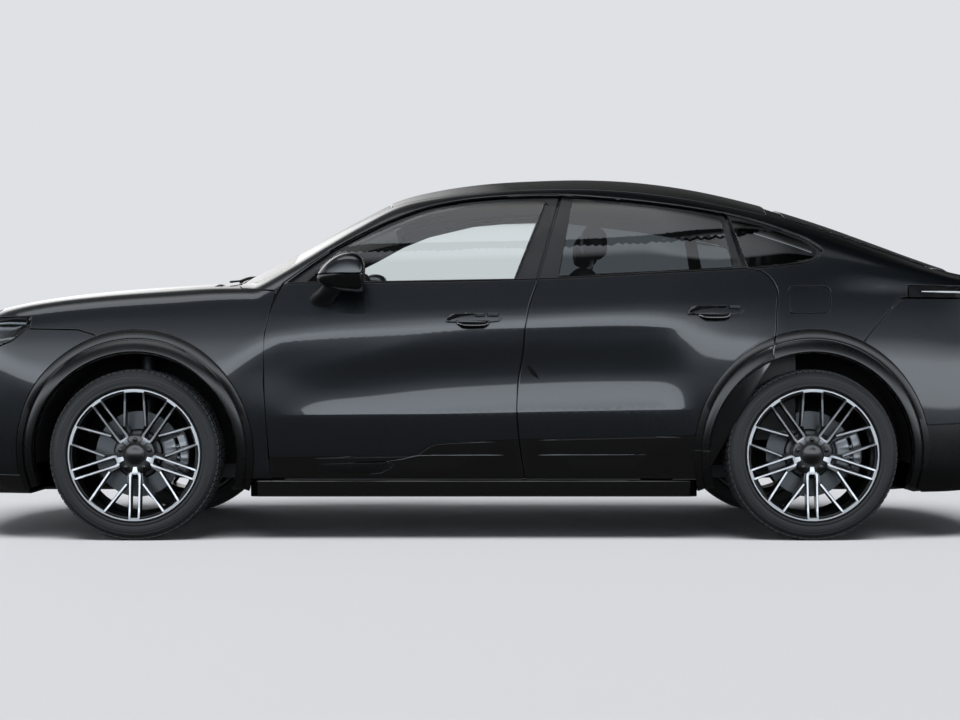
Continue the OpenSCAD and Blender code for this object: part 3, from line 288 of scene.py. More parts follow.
shutLines = {
    "pillar": flow([(172, 262), (150, 405), (137, 549), (143, 666), (163, 797), (176, 928), (195, 1019),
                    (223, 1096)]),
    "pillarTop": [(223, 1096), (340, 1503)],
    "doorFront": flow([(-868, 1102), (-911, 1006), (-938, 889), (-942, 668), (-921, 327), (-915, 262)]),
    "frameFront": flow([(340, 1503), (290, 1503), (100, 1497), (-78, 1480), (-252, 1444), (-425, 1377),
                        (-675, 1242), (-868, 1102)]),
    "frameRear": flow([(1128, 1163), (1110, 1290), (1062, 1417)])
    + flow([(1062, 1417), (803, 1457), (600, 1481), (340, 1503)]),
    "doorRear": flow([(1219, 800), (1233, 849), (1249, 993), (1255, 1073), (1238, 1110), (1196, 1150),
                      (1128, 1163)]),
}
outlines = {
    "frontDoor": shutLines["pillar"] + shutLines["pillarTop"] + shutLines["frameFront"]
    + shutLines["doorFront"],
    "rearDoor": back(shutLines["pillar"]) + [(938, 262)] + back(arcPoints(1399, 365, 452, 452, 112, 176))
    + shutLines["doorRear"] + shutLines["frameRear"] + back(shutLines["pillarTop"]),
    "frontWindow": [(128, 1122), (268, 1476)]
    + flow([(268, 1476), (100, 1470), (-74, 1454), (-243, 1419), (-410, 1353), (-658, 1220), (-770, 1112)])
    + [(-508, 1112)],
    "rearWindow": flow([(319, 1134), (770, 1156), (1072, 1172)]) + [(1026, 1393)]
    + flow([(1026, 1393), (793, 1431), (590, 1455), (389, 1476)]),
    "quarterWindow": flow([(1138, 1172), (1171, 1178), (1306, 1192), (1417, 1217)])
    + flow([(1417, 1217), (1438, 1244), (1409, 1272), (1322, 1315), (1194, 1358), (1076, 1380)]),
    "windscreen": [(-1140, 0), (-1128, 250), (-1075, 520), (-985, 730), (-925, 775), (-700, 705), (-520, 640),
                   (-412, 590), (-432, 300), (-440, 0)],
    "roof": [(-434, 0), (-426, 300), (-406, 588), (-200, 590), (50, 572), (290, 565), (600, 580), (850, 590),
             (1100, 588), (1252, 575), (1262, 300), (1264, 0)],
    "rearGlass": [(1345, 0), (1343, 300), (1338, 500), (1500, 508), (1800, 520), (2080, 528), (2092, 300),
                  (2096, 0)],
    "bonnet": [(-2334, 0), (-2322, 220), (-2285, 420), (-2215, 560), (-2110, 640), (-1950, 690), (-1700, 716),
               (-1400, 728), (-1176, 734), (-1182, 600), (-1196, 400), (-1208, 200), (-1212, 0)],
}
# The dark glasshouse surround, a little wider than the three side windows together
outlines["glasshouse"] = (flow([(-866, 1101), (-508, 1104), (-20, 1112), (375, 1124), (770, 1146),
                                (1072, 1162), (1306, 1181), (1430, 1208), (1466, 1244), (1420, 1290),
                                (1322, 1336), (1194, 1382), (1062, 1417)])
                          + flow([(1062, 1417), (803, 1457), (600, 1481), (340, 1501), (100, 1497),
                                  (-78, 1480), (-252, 1444), (-425, 1377), (-675, 1242), (-866, 1101)]))


# Materials
def linear(hexColour):
    c = [int(hexColour[k:k + 2], 16) / 255 for k in (1, 3, 5)]
    return [v / 12.92 if v <= .04045 else ((v + .055) / 1.055) ** 2.4 for v in c] + [1.]


def addNode(tree, kind, at=(0, 0), **settings):
    # Adds a node; a list or tuple with a node and its output name links, anything else is set as a value
    n = tree.nodes.new(kind)
    n.location = at
    for key, value in settings.items():
        if key.startswith("_"):
            setattr(n, key[1:], value)
            continue
        name = key.replace("__", " ")
        socket = n.inputs[int(name[1:])] if name[0] == "i" and name[1:].isdigit() else n.inputs[name]
        if isinstance(value, tuple) and len(value) == 2 and isinstance(value[0], bpy.types.Node):
            tree.links.new(value[0].outputs[value[1]], socket)
        else:
            socket.default_value = value
    return n


def newMaterial(name):
    m = bpy.data.materials.new(name)
    m.use_nodes = True
    m.node_tree.nodes.clear()
    return m, m.node_tree


def finishMaterial(tree, shader):
    addNode(tree, "ShaderNodeOutputMaterial", (400, 0), Surface=(shader, 0))


def surface(name, base, metallic=0., roughness=.4, coat=0., coatRough=.03, grainMm=0., grain=0.,
            variation=0., smear=0.):
    # A solid finish: slight colour variation, fine grain in the bump, and roughness that may vary by smear
    m, tree = newMaterial(name)
    place = addNode(tree, "ShaderNodeTexCoord", (-1100, 0))
    cloud = addNode(tree, "ShaderNodeTexNoise", (-800, 200), Vector=(place, "Object"), Scale=9., Detail=3.)
    rgb = linear(base)
    lighter = [min(1., c * (1 + variation)) for c in rgb[:3]] + [1.]
    darker = [c * (1 - variation) for c in rgb[:3]] + [1.]
    colour = addNode(tree, "ShaderNodeMix", (-500, 200), _data_type="RGBA", i0=(cloud, "Fac"), i6=darker,
                     i7=lighter)
    shader = addNode(tree, "ShaderNodeBsdfPrincipled", (0, 0), Metallic=metallic, IOR=1.5, Coat__Weight=coat,
                     Coat__Roughness=coatRough, Roughness=roughness)
    tree.links.new(colour.outputs["Result"], shader.inputs["Base Color"])
    if smear:
        rough = addNode(tree, "ShaderNodeMapRange", (-500, -60), Value=(cloud, "Fac"), i3=roughness - smear,
                        i4=roughness + smear)
        tree.links.new(rough.outputs["Result"], shader.inputs["Roughness"])
    if grainMm:
        fine = addNode(tree, "ShaderNodeTexNoise", (-800, -300), Vector=(place, "Object"),
                       Scale=1000. / grainMm, Detail=2.)
        bump = addNode(tree, "ShaderNodeBump", (-300, -300), Strength=grain, Distance=.0004,
                       Height=(fine, "Fac"))
        tree.links.new(bump.outputs["Normal"], shader.inputs["Normal"])
    finishMaterial(tree, shader)
    return m


def metallicPaint(name, base, bright):
    # Base coat with aluminium flakes under a clear coat: dark at grazing angles, a soft glitter face on
    m, tree = newMaterial(name)
    place = addNode(tree, "ShaderNodeTexCoord", (-1200, 0))
    flakes = addNode(tree, "ShaderNodeTexVoronoi", (-900, -200), Vector=(place, "Object"), Scale=700.)
    edge = addNode(tree, "ShaderNodeLayerWeight", (-900, 250), Blend=.35)
    tone = addNode(tree, "ShaderNodeMix", (-600, 200), _data_type="RGBA", i0=(edge, "Facing"),
                   i6=linear(bright), i7=linear(base))
    sparkle = addNode(tree, "ShaderNodeMapRange", (-600, -100), Value=(flakes, "Color"), i3=.26, i4=.40)
    bump = addNode(tree, "ShaderNodeBump", (-300, -300), Strength=.05, Distance=.0002,
                   Height=(flakes, "Distance"))
    shader = addNode(tree, "ShaderNodeBsdfPrincipled", (0, 0), Metallic=.62, IOR=1.5, Coat__Weight=1.,
                     Coat__Roughness=.015, Coat__IOR=1.5, Roughness=(sparkle, 0), Normal=(bump, 0))
    tree.links.new(tone.outputs["Result"], shader.inputs["Base Color"])
    finishMaterial(tree, shader)
    return m


def glassMaterial(name, tint):
    # Toughened or laminated sheet: a Fresnel gloss over a see-through that darkens by its tint
    m, tree = newMaterial(name)
    place = addNode(tree, "ShaderNodeTexCoord", (-1100, 0))
    cloud = addNode(tree, "ShaderNodeTexNoise", (-900, 0), Vector=(place, "Object"), Scale=2., Detail=1.)
    tone = addNode(tree, "ShaderNodeMix", (-650, -200), _data_type="RGBA", i0=(cloud, "Fac"), i6=linear(tint),
                   i7=[c * .97 for c in linear(tint)[:3]] + [1.])
    gloss = addNode(tree, "ShaderNodeBsdfAnisotropic", (-300, 100), Roughness=.0, Color=(1, 1, 1, 1))
    clear = addNode(tree, "ShaderNodeBsdfTransparent", (-300, -300))
    tree.links.new(tone.outputs["Result"], clear.inputs["Color"])
    fresnel = addNode(tree, "ShaderNodeFresnel", (-600, 300), IOR=1.52)
    mix = addNode(tree, "ShaderNodeMixShader", (0, 0), i0=(fresnel, 0), i1=(clear, 0), i2=(gloss, 0))
    finishMaterial(tree, mix)
    return m


finishes = {
    "paint": metallicPaint("clearCoatedMetallicPaint", "#07090b", "#1a1f24"),
    "paintInside": surface("primedPaintInside", "#0c0d0f", roughness=.5, coat=.15, coatRough=.3,
                           variation=.1),
    "gloss": surface("glossBlackAbs", "#060607", roughness=.12, coat=1., coatRough=.02, variation=.1),
    "satin": surface("satinBlackPolypropylene", "#08090a", roughness=.27, grainMm=1.4, grain=.12,
                     variation=.12, smear=.05),
    "matt": surface("grainedBlackPolypropylene", "#0a0a0b", roughness=.62, grainMm=1.8, grain=.3,
                    variation=.15, smear=.08),
    "chrome": surface("machinedAluminium", "#bcbfc2", metallic=1., roughness=.36, variation=.04, grainMm=1.2,
                      grain=.05),
    "alloyDark": surface("glossBlackWheelLacquer", "#060708", metallic=.1, roughness=.3, coat=.45,
                         coatRough=.04, variation=.1),
    "tyre": surface("carbonBlackTyreRubber", "#1a1c1e", roughness=.6, grainMm=3., grain=.2, variation=.18,
                    smear=.08),
    "steel": surface("turnedCastIron", "#55585b", metallic=1., roughness=.34, variation=.12, grainMm=2.,
                     grain=.2, smear=.08),
    "caliper": surface("anodisedGreyCaliper", "#85898d", metallic=.75, roughness=.4, coat=.4, variation=.06),
    "cast": surface("sandCastAluminium", "#5a5c5e", metallic=.9, roughness=.55, grainMm=4., grain=.4,
                    variation=.14),
    "under": surface("feltedUnderbodyLiner", "#0b0b0c", roughness=.85, grainMm=5., grain=.5, variation=.2),
    "case": surface("extrudedAluminiumCase", "#7c7f82", metallic=1., roughness=.45, grainMm=6., grain=.2,
                    variation=.1),
    "leather": surface("grainedBlackLeather", "#17181a", roughness=.48, grainMm=3.5, grain=.45, variation=.1,
                       smear=.06),
    "cabin": surface("softTouchCabinPlastic", "#141517", roughness=.58, grainMm=2.2, grain=.3, variation=.1),
    "headliner": surface("wovenHeadliner", "#5b5d60", roughness=.9, grainMm=2., grain=.5, variation=.08),
    "carpet": surface("needledCarpet", "#101112", roughness=.95, grainMm=2.5, grain=.8, variation=.2),
    "clearGlass": glassMaterial("laminatedClearGlass", "#f6faf8"),
    "sideGlass": glassMaterial("toughenedSideGlass", "#f4f8f7"),
    "darkGlass": glassMaterial("privacyGlass", "#8f9497"),
    "lampLens": glassMaterial("clearPolycarbonateLens", "#e9edf0"),
    "mirrorGlass": surface("silveredMirrorGlass", "#c8ced2", metallic=1., roughness=.03, variation=.02),
    "grille": surface("mouldedBlackGrille", "#050506", roughness=.45, grainMm=1.5, grain=.2, variation=.1),
    "screen": surface("coatedDisplayGlass", "#050607", roughness=.12, coat=1., coatRough=.02, variation=.05),
    "redLens": surface("redLensPolycarbonate", "#3a0a0c", roughness=.08, coat=1., coatRough=.02,
                       variation=.05),
    "lampWhite": surface("frostedLightGuide", "#dfe4e8", roughness=.35, coat=.6, variation=.02),
}


# Meshes: one piece, a panel laid on the surface, and the structure behind a skin
def addPiece(name, verts, faces, material, body, normals=None, replaces=(), flat=False):
    mesh = bpy.data.meshes.new(name)
    mesh.from_pydata([tuple(v) for v in verts], [], [tuple(int(k) for k in f) for f in faces])
    mesh.update()
    for poly in mesh.polygons:
        poly.use_smooth = not flat
    piece = bpy.data.objects.new(name, mesh)
    bpy.context.scene.collection.objects.link(piece)
    mesh.materials.append(material)
    if normals is not None:
        mesh.normals_split_custom_set_from_vertices([tuple(n) for n in normals])
    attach(piece, body)
    if replaces:
        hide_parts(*replaces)
    return piece


def ringFaces(rows, ring, capped=False):
    # Quads between rows of points, each row a closed ring; capped closes both ends
    faces = [[i * ring + j, i * ring + (j + 1) % ring, (i + 1) * ring + (j + 1) % ring, (i + 1) * ring + j]
             for i in range(rows - 1) for j in range(ring)]
    if capped:
        faces += [list(range(ring))[::-1], [(rows - 1) * ring + j for j in range(ring)]]
    return faces


def boundaryLoops(tris):
    edges = set()
    for a, b, c in tris:
        edges.update(((a, b), (b, c), (c, a)))
    following = {}
    for a, b in edges:
        if (b, a) not in edges:
            following.setdefault(a, []).append(b)
    loops = []
    while following:
        start = next(iter(following))
        loop, at = [start], following[start].pop()
        if not following[start]:
            del following[start]
        while at != start and at in following:
            loop.append(at)
            nxt = following[at].pop()
            if not following[at]:
                del following[at]
            at = nxt
        if len(loop) > 2:
            loops.append(loop)
    return loops


def layPanel(kind, include, exclude=(), spacing=24., depth=0., bevel=2.2, flange=13., inset=2.4, creases=(),
             dish=None):
    # Points, faces and normals of a skin that lies in every include loop and in no exclude loop
    # Loops are surface points; inset is the half gap left at each edge
    reach = inset + bevel
    flat = ([grown(planePoints(kind, p), -reach) for p in include]
            + [grown(planePoints(kind, p), reach) for p in exclude])
    low = np.max([q.min(0) for q in flat[:len(include)]], axis=0)
    high = np.min([q.max(0) for q in flat[:len(include)]], axis=0)
    counts = np.maximum(2, np.ceil((high - low) / spacing).astype(int) // 2 * 2)
    gu, gv = [np.linspace(low[k], high[k], counts[k] + 1) for k in range(2)]
    grid = [(u, v) for i, u in enumerate(gu[1:-1])
            for v in (gv[1:-1] if i % 2 else (gv[1:-1] + (gv[1] - gv[0]) * .5)[:-1])]
    points = [tuple(p) for q in flat for p in q] + grid
    edges, faces, at = [], [], 0
    for line in creases:
        q = planePoints(kind, line)
        edges += [(len(points) + k, len(points) + k + 1) for k in range(len(q) - 1)]
        points += [tuple(v) for v in q]
    for q in flat:
        faces.append(list(range(at, at + len(q))))
        at += len(q)
    for f, q in zip(faces, flat):
        area = np.sum(q[:, 0] * np.roll(q[:, 1], -1) - np.roll(q[:, 0], -1) * q[:, 1])
        if area < 0:
            f.reverse()
    out = delaunay_2d_cdt([Vector(p) for p in points], edges, faces, 0, 1e-4, True)
    verts, tris, owners = out[0], out[2], out[5]
    wanted, refused = set(range(len(include))), set(range(len(include), len(flat)))
    kept = [t for t, o in zip(tris, owners) if wanted <= set(o) and not (refused & set(o))]
    used = sorted(set(k for t in kept for k in t))
    index = {k: i for i, k in enumerate(used)}
    uv = np.array([tuple(verts[k]) for k in used])
    tris = np.array([[index[k] for k in t] for t in kept])
    origin, direction = planeRays(kind, uv[:, 0], uv[:, 1])
    p = alongRays(origin, direction, depth)
    n = bodyNormals(p)
    if dish:  # hollows the middle out, to a depth that is reached some way in from the edge
        rim = p[sorted(set(k for loop in boundaryLoops(tris.tolist()) for k in loop))]
        away = np.min(np.linalg.norm(p[:, None] - rim[None], axis=2), axis=1)
        p = p - n * (dish[0] * np.sin(np.clip(away / dish[1], 0, 1) * math.pi / 2))[:, None]
    a, b, c = p[tris[:, 0]], p[tris[:, 1]], p[tris[:, 2]]
    turn = np.sum(np.cross(b - a, c - a) * n[tris[:, 0]], axis=1)
    if np.sum(turn) < 0:
        tris = tris[:, ::-1]
    if dish:
        face = np.cross(p[tris[:, 1]] - p[tris[:, 0]], p[tris[:, 2]] - p[tris[:, 0]])
        n = np.zeros_like(p)
        for k in range(3):
            np.add.at(n, tris[:, k], face)
        n /= np.maximum(np.linalg.norm(n, axis=1), 1e-9)[:, None]
    allP, allN, allF = [p], [n], [tris.tolist()]
    total = len(p)
    for loop in boundaryLoops(tris.tolist()):
        q, m = p[loop], n[loop]
        along = np.roll(q, -1, 0) - np.roll(q, 1, 0)
        along /= np.maximum(np.linalg.norm(along, axis=1), 1e-9)[:, None]
        out = np.cross(along, m)
        out /= np.maximum(np.linalg.norm(out, axis=1), 1e-9)[:, None]
        half = math.sqrt(.5)
        previous = list(loop)
        for pos, nor in ((q + out * bevel * half - m * bevel * (1 - half), (m + out) * half),
                         (q + out * bevel - m * bevel, out), (q + out * bevel - m * (bevel + flange), out)):
            ids = list(range(total, total + len(loop)))
            total += len(loop)
            allP.append(pos)
            allN.append(nor)
            k = len(loop)
            allF.append([[previous[i], ids[i], ids[(i + 1) % k], previous[(i + 1) % k]] for i in range(k)])
            previous = ids
    return np.vstack(allP), [f for group in allF for f in group], np.vstack(allN)


def mirrorY(verts, faces, normals=None):
    flip = np.array([1, -1, 1])
    return verts * flip, [list(reversed(f)) for f in faces], None if normals is None else normals * flip


def addPanel(name, body, material, laid, replaces=(), side=0):
    # side 0 as laid, 1 mirrored to the right
    verts, faces, normals = laid
    if side:
        verts, faces, normals = mirrorY(verts, faces, normals)
    return addPiece(name, verts / 1000, faces, material, body, normals, replaces)


hinges = {"x": (-897, 191), "y": 938, "reach": 30, "room": 48}


def innerShell(name, node, body, slot, material, sink=5., reach=4., replaces=True):
    # The structure behind a skin: the node's solid with its outer face set back under the skin
    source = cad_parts[node].data
    bm = bmesh.new()
    bm.from_mesh(source)
    bmesh.ops.remove_doubles(bm, verts=bm.verts, dist=1e-5)
    p = np.array([v.co for v in bm.verts]) * 1000
    level = bodyLevel(p)
    move = np.where(level > -reach, sink + level, 0)
    q = (p - bodyNormals(p) * move[:, None]) / 1000
    near = np.zeros(len(p), bool)
    if "side_frame" in node:  # short brackets stand behind the room that the doors' leading edges need
        for x in hinges["x"]:
            near |= np.hypot(p[:, 0] - x, np.abs(p[:, 1]) - hinges["y"]) < hinges["reach"]
        q[near, 1] = np.sign(p[near, 1]) * (hinges["y"] - hinges["room"]) / 1000
    for v, co in zip(bm.verts, q):
        v.co = co
    if near.any():
        gone = [f for f in bm.faces if all(near[v.index] for v in f.verts)]
        bmesh.ops.delete(bm, geom=gone, context="FACES")
        bmesh.ops.holes_fill(bm, edges=[e for e in bm.edges if e.is_boundary], sides=40)
    mesh = bpy.data.meshes.new(name)
    bm.to_mesh(mesh)
    bm.free()
    piece = bpy.data.objects.new(name, mesh)
    bpy.context.scene.collection.objects.link(piece)
    mesh.materials.clear()
    mesh.materials.append(material)
    mesh.shade_smooth()
    mesh.set_sharp_from_angle(angle=math.radians(28))
    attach(piece, body)
    if replaces:
        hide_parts(node)
    return piece


# Painted skins and the trims between them
gaps = {"panel": 2.5, "door": 3.2}
trimLine = [(-1010, 350), (-600, 354), (-310, 359), (-290, 363), (-262, 383), (-236, 402), (-207, 412),
            (-100, 418), (150, 428), (500, 437), (876, 445), (1060, 449)]
bladeCrease = [(-1010, 322), (-420, 334), (-350, 345), (-290, 359), (-207, 361), (500, 363), (1060, 366)]


def fromFront(points):
    p = np.array(points, float)
    zero = np.zeros(len(p))
    return alongRays(np.stack([zero + planeShape["noseX"], p[:, 0], p[:, 1]], 1),
                     np.tile([-1., 0, 0], (len(p), 1)))


def fromBehind(points):
    p = np.array(points, float)
    zero = np.zeros(len(p))
    return alongRays(np.stack([zero + planeShape["tailX"], p[:, 0], p[:, 1]], 1),
                     np.tile([1., 0, 0], (len(p), 1)))


def openFront(points, step=8, soft=0):
    return fromFront(dense(points, step, closed=False, soft=soft))


def openRear(points, step=8, soft=0):
    return fromBehind(dense(points, step, closed=False, soft=soft))


def openSide(points, step=8, soft=2):
    return fromSide(dense(points, step, closed=False, soft=soft))


def openPlan(points, step=8, soft=2):
    return fromPlan(dense(points, step, closed=False, soft=soft))


def sideLoop(points, step=8, soft=2, by=0):
    q = dense(points, step, soft=soft)
    return fromSide(grown(q, by) if by else q)


def planLoop(points, step=8, soft=2, by=0):
    half = dense([(x, y) for x, y in points], step, closed=False)
    q = dense(mirroredLoop(half.tolist()), step, soft=soft)
    return fromPlan(grown(q, by) if by else q)


def grownLoop(p, by):
    return grown(planePoints("fan", p), by)


def flipY(p):
    return p * np.array([1, -1, 1])


def withMirror(half):
    # A surface line that starts and ends on the middle of the car, joined to its mirror image
    return np.vstack([half, flipY(half)[::-1]])


def archLoop(x, rx, rz, step=8):
    # The wheel arch opening carried down past the sill
    return sideLoop(arcPoints(x, bodyShape["axleZ"], rx, rz, -25, 205, 40)
                    + [(x - rx * .9, 100), (x + rx * .9, 100)],
                    step, 0)


def halfArch(x, rx, rz, turn):
    # The part of an arch that lies on a bumper: turn -1 for its front half, 1 for its rear half
    a = arcPoints(x, bodyShape["axleZ"], rx, rz, 88, 205, 24) if turn < 0 else arcPoints(
        x, bodyShape["axleZ"], rx, rz, 92, -25, 24)
    return sideLoop(a + [(x + turn * rx * .9, 100), (x - turn * 18, 100)], 8, 0)


def bothSides(name, bodyLeft, bodyRight, slot, finish, laid, replaces=None):
    left = addPanel(name + "Left", bodyLeft, finishes[finish], laid, replaces[0] if replaces else ())
    right = addPanel(name + "Right", bodyRight, finishes[finish], laid, replaces[1] if replaces else (),
                     side=1)
    return left, right


doorBodies = {"front": ("front_door_left", "front_door_right"), "rear": ("rear_door_left", "rear_door_right")}
s = bodyShape
archOuter = s["archRadius"] + s["trimWidth"] - 8
frontArch = archLoop(s["frontAxleX"], archOuter, archOuter + s["trimRise"])
rearArch = archLoop(s["rearAxleX"], archOuter, archOuter + s["trimRise"])
noseArch = halfArch(s["frontAxleX"], archOuter, archOuter + s["trimRise"], -1)
tailArch = halfArch(s["rearAxleX"], archOuter, archOuter + s["trimRise"], 1)
glasshouse = sideLoop(outlines["glasshouse"], 8, 1)
bonnetLoop = planLoop(outlines["bonnet"])
screenLoop = planLoop(outlines["windscreen"])
roofLoop = planLoop(outlines["roof"])
rearGlassLoop = planLoop(outlines["rearGlass"], by=-3)
frontDoorLoop = sideLoop(outlines["frontDoor"])
rearDoorLoop = sideLoop(outlines["rearDoor"])
aboveTrim = sideLoop(trimLine + [(1500, 700), (1500, 1560), (-1100, 1560), (-1100, 400)], 10, 0)
belowTrim = sideLoop([(x, z - 3) for x, z in trimLine] + [(1060, 240), (-1010, 240)], 10, 0)
lampLoop = np.vstack([openSide([(-2088, 826), (-2023, 852), (-1993, 878), (-1933, 934), (-1937, 955),
                                (-2088, 953), (-2215, 941)], 6),
                      fromFront(dense([(-655, 935), (-530, 931), (-524, 925), (-524, 850), (-530, 845),
                                       (-655, 838)],
                                      6, closed=False)),
                      openSide([(-2215, 833), (-2095, 826)], 6)])

# Doors: paint above the lower blade and below the glasshouse, with rows of edges along both creases
creaseRows = [fromSide([(x, curve[name](x) + off) for x in range(-935, 1231, 15)])
              for name in ("lowCrease", "shoulder") for off in (-.8, .8)]
lay = dict(spacing=22., inset=gaps["door"], creases=creaseRows, flange=6.)
handle = {"shift": {"front": (0, 0), "rear": (1032, 33)}, "proud": 12,
          "blade": [(-170, 932), (-148, 946), (-105, 960), (-45, 968), (5, 970), (66, 969), (77, 962),
                    (74, 948), (60, 935), (8, 927), (-40, 931), (-95, 933), (-140, 929)],
          "cup": [(-128, 936), (24, 936), (18, 920), (-2, 905), (-50, 902), (-92, 904), (-112, 917)]}
cups = {end: sideLoop([(x + dx, z + dz) for x, z in handle["cup"]], 5, 2)
        for end, (dx, dz) in handle["shift"].items()}
bothSides("frontDoorSkin", *doorBodies["front"], "body_paint", "paint",
          layPanel("fan", [frontDoorLoop, aboveTrim], [glasshouse, grownLoop(cups["front"], -2.4)], **lay))
bothSides("rearDoorSkin", *doorBodies["rear"], "body_paint", "paint",
          layPanel("fan", [rearDoorLoop, aboveTrim], [glasshouse, rearArch, grownLoop(cups["rear"], -2.4)],
                   **lay))
lay = dict(spacing=22., inset=1., bevel=1.2, flange=5.)
belowCrease = sideLoop(bladeCrease + [(1060, 240), (-1010, 240)], 10, 0)
aboveCrease = sideLoop(bladeCrease + [(1060, 520), (-1010, 520)], 10, 0)
insert = sideLoop([(-898, 318), (-640, 326), (-385, 331), (-412, 300), (-445, 284), (-500, 279),
                   (-898, 274)], 7, 2)
for part, finish, keepIn, leaveOut, deep in (
        ("Blade", "gloss", [belowTrim, aboveCrease], [], 4.),
        ("BladeLow", "gloss", [belowCrease], [insert], 6.5)):
    bothSides("frontDoor" + part, *doorBodies["front"], "trim_plastic", finish,
              layPanel("fan", [frontDoorLoop] + keepIn, leaveOut, depth=deep, **lay))
    bothSides("rearDoor" + part, *doorBodies["rear"], "trim_plastic", finish,
              layPanel("fan", [rearDoorLoop] + keepIn, [rearArch] + leaveOut, depth=deep, **lay))
bothSides("frontDoorInsert", *doorBodies["front"], "trim_plastic", "satin",
          layPanel("fan", [insert], [], depth=4.5, **lay))
frontWindow = sideLoop(outlines["frontWindow"], 7, 3)
rearWindow = sideLoop(outlines["rearWindow"], 7, 3)
quarterWindow = sideLoop(outlines["quarterWindow"], 7, 3)
lay = dict(spacing=30., inset=1.6, bevel=2., flange=6., depth=1.5)
bothSides("frontDoorFrameTrim", *doorBodies["front"], "trim_plastic", "gloss",
          layPanel("fan", [frontDoorLoop, glasshouse], [frontWindow], **lay))
bothSides("rearDoorFrameTrim", *doorBodies["rear"], "trim_plastic", "gloss",
          layPanel("fan", [rearDoorLoop, glasshouse], [rearWindow], **lay))
bothSides("quarterTrim", "body", "body", "trim_plastic", "gloss",
          layPanel("fan", [glasshouse], [rearDoorLoop, frontDoorLoop, quarterWindow], **lay))
lay = dict(spacing=16., inset=-3., bevel=1., flange=3., depth=6.)
bothSides("frontDoorGlass", *doorBodies["front"], "clear_glass", "sideGlass",
          layPanel("fan", [frontWindow], **lay), (("door_glass_front_left",), ("door_glass_front_right",)))
bothSides("rearDoorGlass", *doorBodies["rear"], "tinted_glass", "darkGlass",
          layPanel("fan", [rearWindow], **lay), (("door_glass_rear_left",), ("door_glass_rear_right",)))
bothSides("quarterGlass", "body", "body", "tinted_glass", "darkGlass",
          layPanel("fan", [quarterWindow], **lay), (("quarter_glass",), ()))
print("doors")

# Openings and lower parts of both bumpers, shared by the painted skins and by the black parts that fill them
bumper = {"centre": [(-400, 300), (400, 300), (452, 352), (418, 420), (-418, 420), (-452, 352)],
          "side": [(-812, 330), (-640, 322), (-552, 352), (-540, 420), (-590, 520), (-700, 560), (-790, 540),
                   (-822, 440)]}


def frontLoop(points, step=8, soft=4):
    return fromFront(dense(points, step, soft=soft))


centreIntake, sideIntake = frontLoop(bumper["centre"]), frontLoop(bumper["side"])
lipHalf = np.vstack([openFront([(0, 200), (-500, 200)], 10),
                     openSide([(-2230, 196), (-1990, 195), (-1500, 192), (-1500, 268), (-1900, 276),
                               (-2200, 282)], 8),
                     openFront([(-600, 284), (0, 284)], 10)])
lipLoop = withMirror(lipHalf)
rearHalf = np.vstack([openRear([(0, 206), (-500, 206)], 10),
                      openSide([(2230, 212), (1990, 200), (1520, 192), (1520, 420), (1800, 486),
                                (2140, 500)], 8),
                      openRear([(-640, 500), (-520, 486), (-430, 430), (0, 430)], 8, 3)])
rearLowLoop = withMirror(rearHalf)

# Front fenders, side frames, bumpers and the top panels
lay = dict(spacing=24., inset=gaps["panel"], flange=7.)
rearOfFender = [(-897, 1068), (-911, 1006), (-938, 889), (-942, 668), (-921, 327), (-915, 262), (-1100, 262)]
fenderLoop = np.vstack([openSide([(-2110, 620), (-2110, 940)]),
                        openPlan([(-2110, -690), (-2110, -600), (-1200, -600), (-1173, -739.5),
                                  (-1100, -739.5), (-1064, -744)]),
                        openSide([(-1047, 1080)] + rearOfFender + [(-1494, 500)])])
noseSide = sideLoop([(-2200, 400), (-2200, 980), (-2110, 980), (-2110, 955), (-1949, 955), (-1949, 903),
                     (-1744, 899), (-1672, 878), (-1560, 740), (-1560, 400)], 8, 0)
bothSides("fenderSkin", "body", "body", "body_paint", "paint",
          layPanel("fan", [fenderLoop], [frontArch, bonnetLoop, noseSide], **lay))
tailSide = np.array([(1560, -1200), (1560, -300)] + planePoints("fan", openSide(
    [(1560, 300), (1560, 740), (1632, 862), (1796, 1037), (1832, 1042), (1832, 1092),
     (2290, 1092)], 8, 0)).tolist()
    + [(2400, 700), (2400, -1200)])
tailgateTop = planLoop([(1276, 0), (1274, 300), (1264, 575), (1500, 590), (1800, 606), (2100, 622),
                        (2300, 632), (2310, 300), (2310, 0)])
frameLoop = np.array([(-1150, -1040), (-1150, 1400), (2205, 1400), (2205, -1040)], float)
flap = sideLoop([(1304, 975), (1302, 1068), (1318, 1084), (1468, 1085), (1484, 1070), (1482, 988),
                 (1468, 972), (1320, 970)], 6, 2)
frameLow = np.array([(-1200, -1300)] + planePoints("fan", openSide([(-1200, 263),
                                                                    (1600, 263)], 20, 0)).tolist()
                    + [(1600, -1300)])
bothSides("sideFrameSkin", "body", "body", "body_paint", "paint",
          layPanel("fan", [dense(frameLoop, 12)],
                   [fenderLoop, frontDoorLoop, rearDoorLoop, glasshouse, screenLoop, roofLoop, rearGlassLoop,
                    tailgateTop, tailSide, frontArch, rearArch, bonnetLoop, frameLow, flap], **lay))
addPanel("roofSkin", "body", finishes["paint"], layPanel("fan", [roofLoop], spacing=28.))
addPanel("bonnetSkin", "bonnet", finishes["paint"], layPanel("top", [bonnetLoop], spacing=24.))
tailHalf = np.vstack([openPlan([(1276, 0), (1274, -300), (1264, -575), (1500, -590), (1800, -606),
                                (2100, -622), (2290, -632)]),
                      openRear([(-634, 1140), (-636, 1037), (-634, 800), (-624, 790), (0, 790)], 8)])
barBand = withMirror(openRear([(0, 1092), (-700, 1092), (-700, 1040), (0, 1040)], 10))
tailLoop = withMirror(tailHalf)
addPanel("tailgateSkin", "tailgate", finishes["paint"],
         layPanel("pitch", [tailLoop], [rearGlassLoop, barBand], spacing=24.))
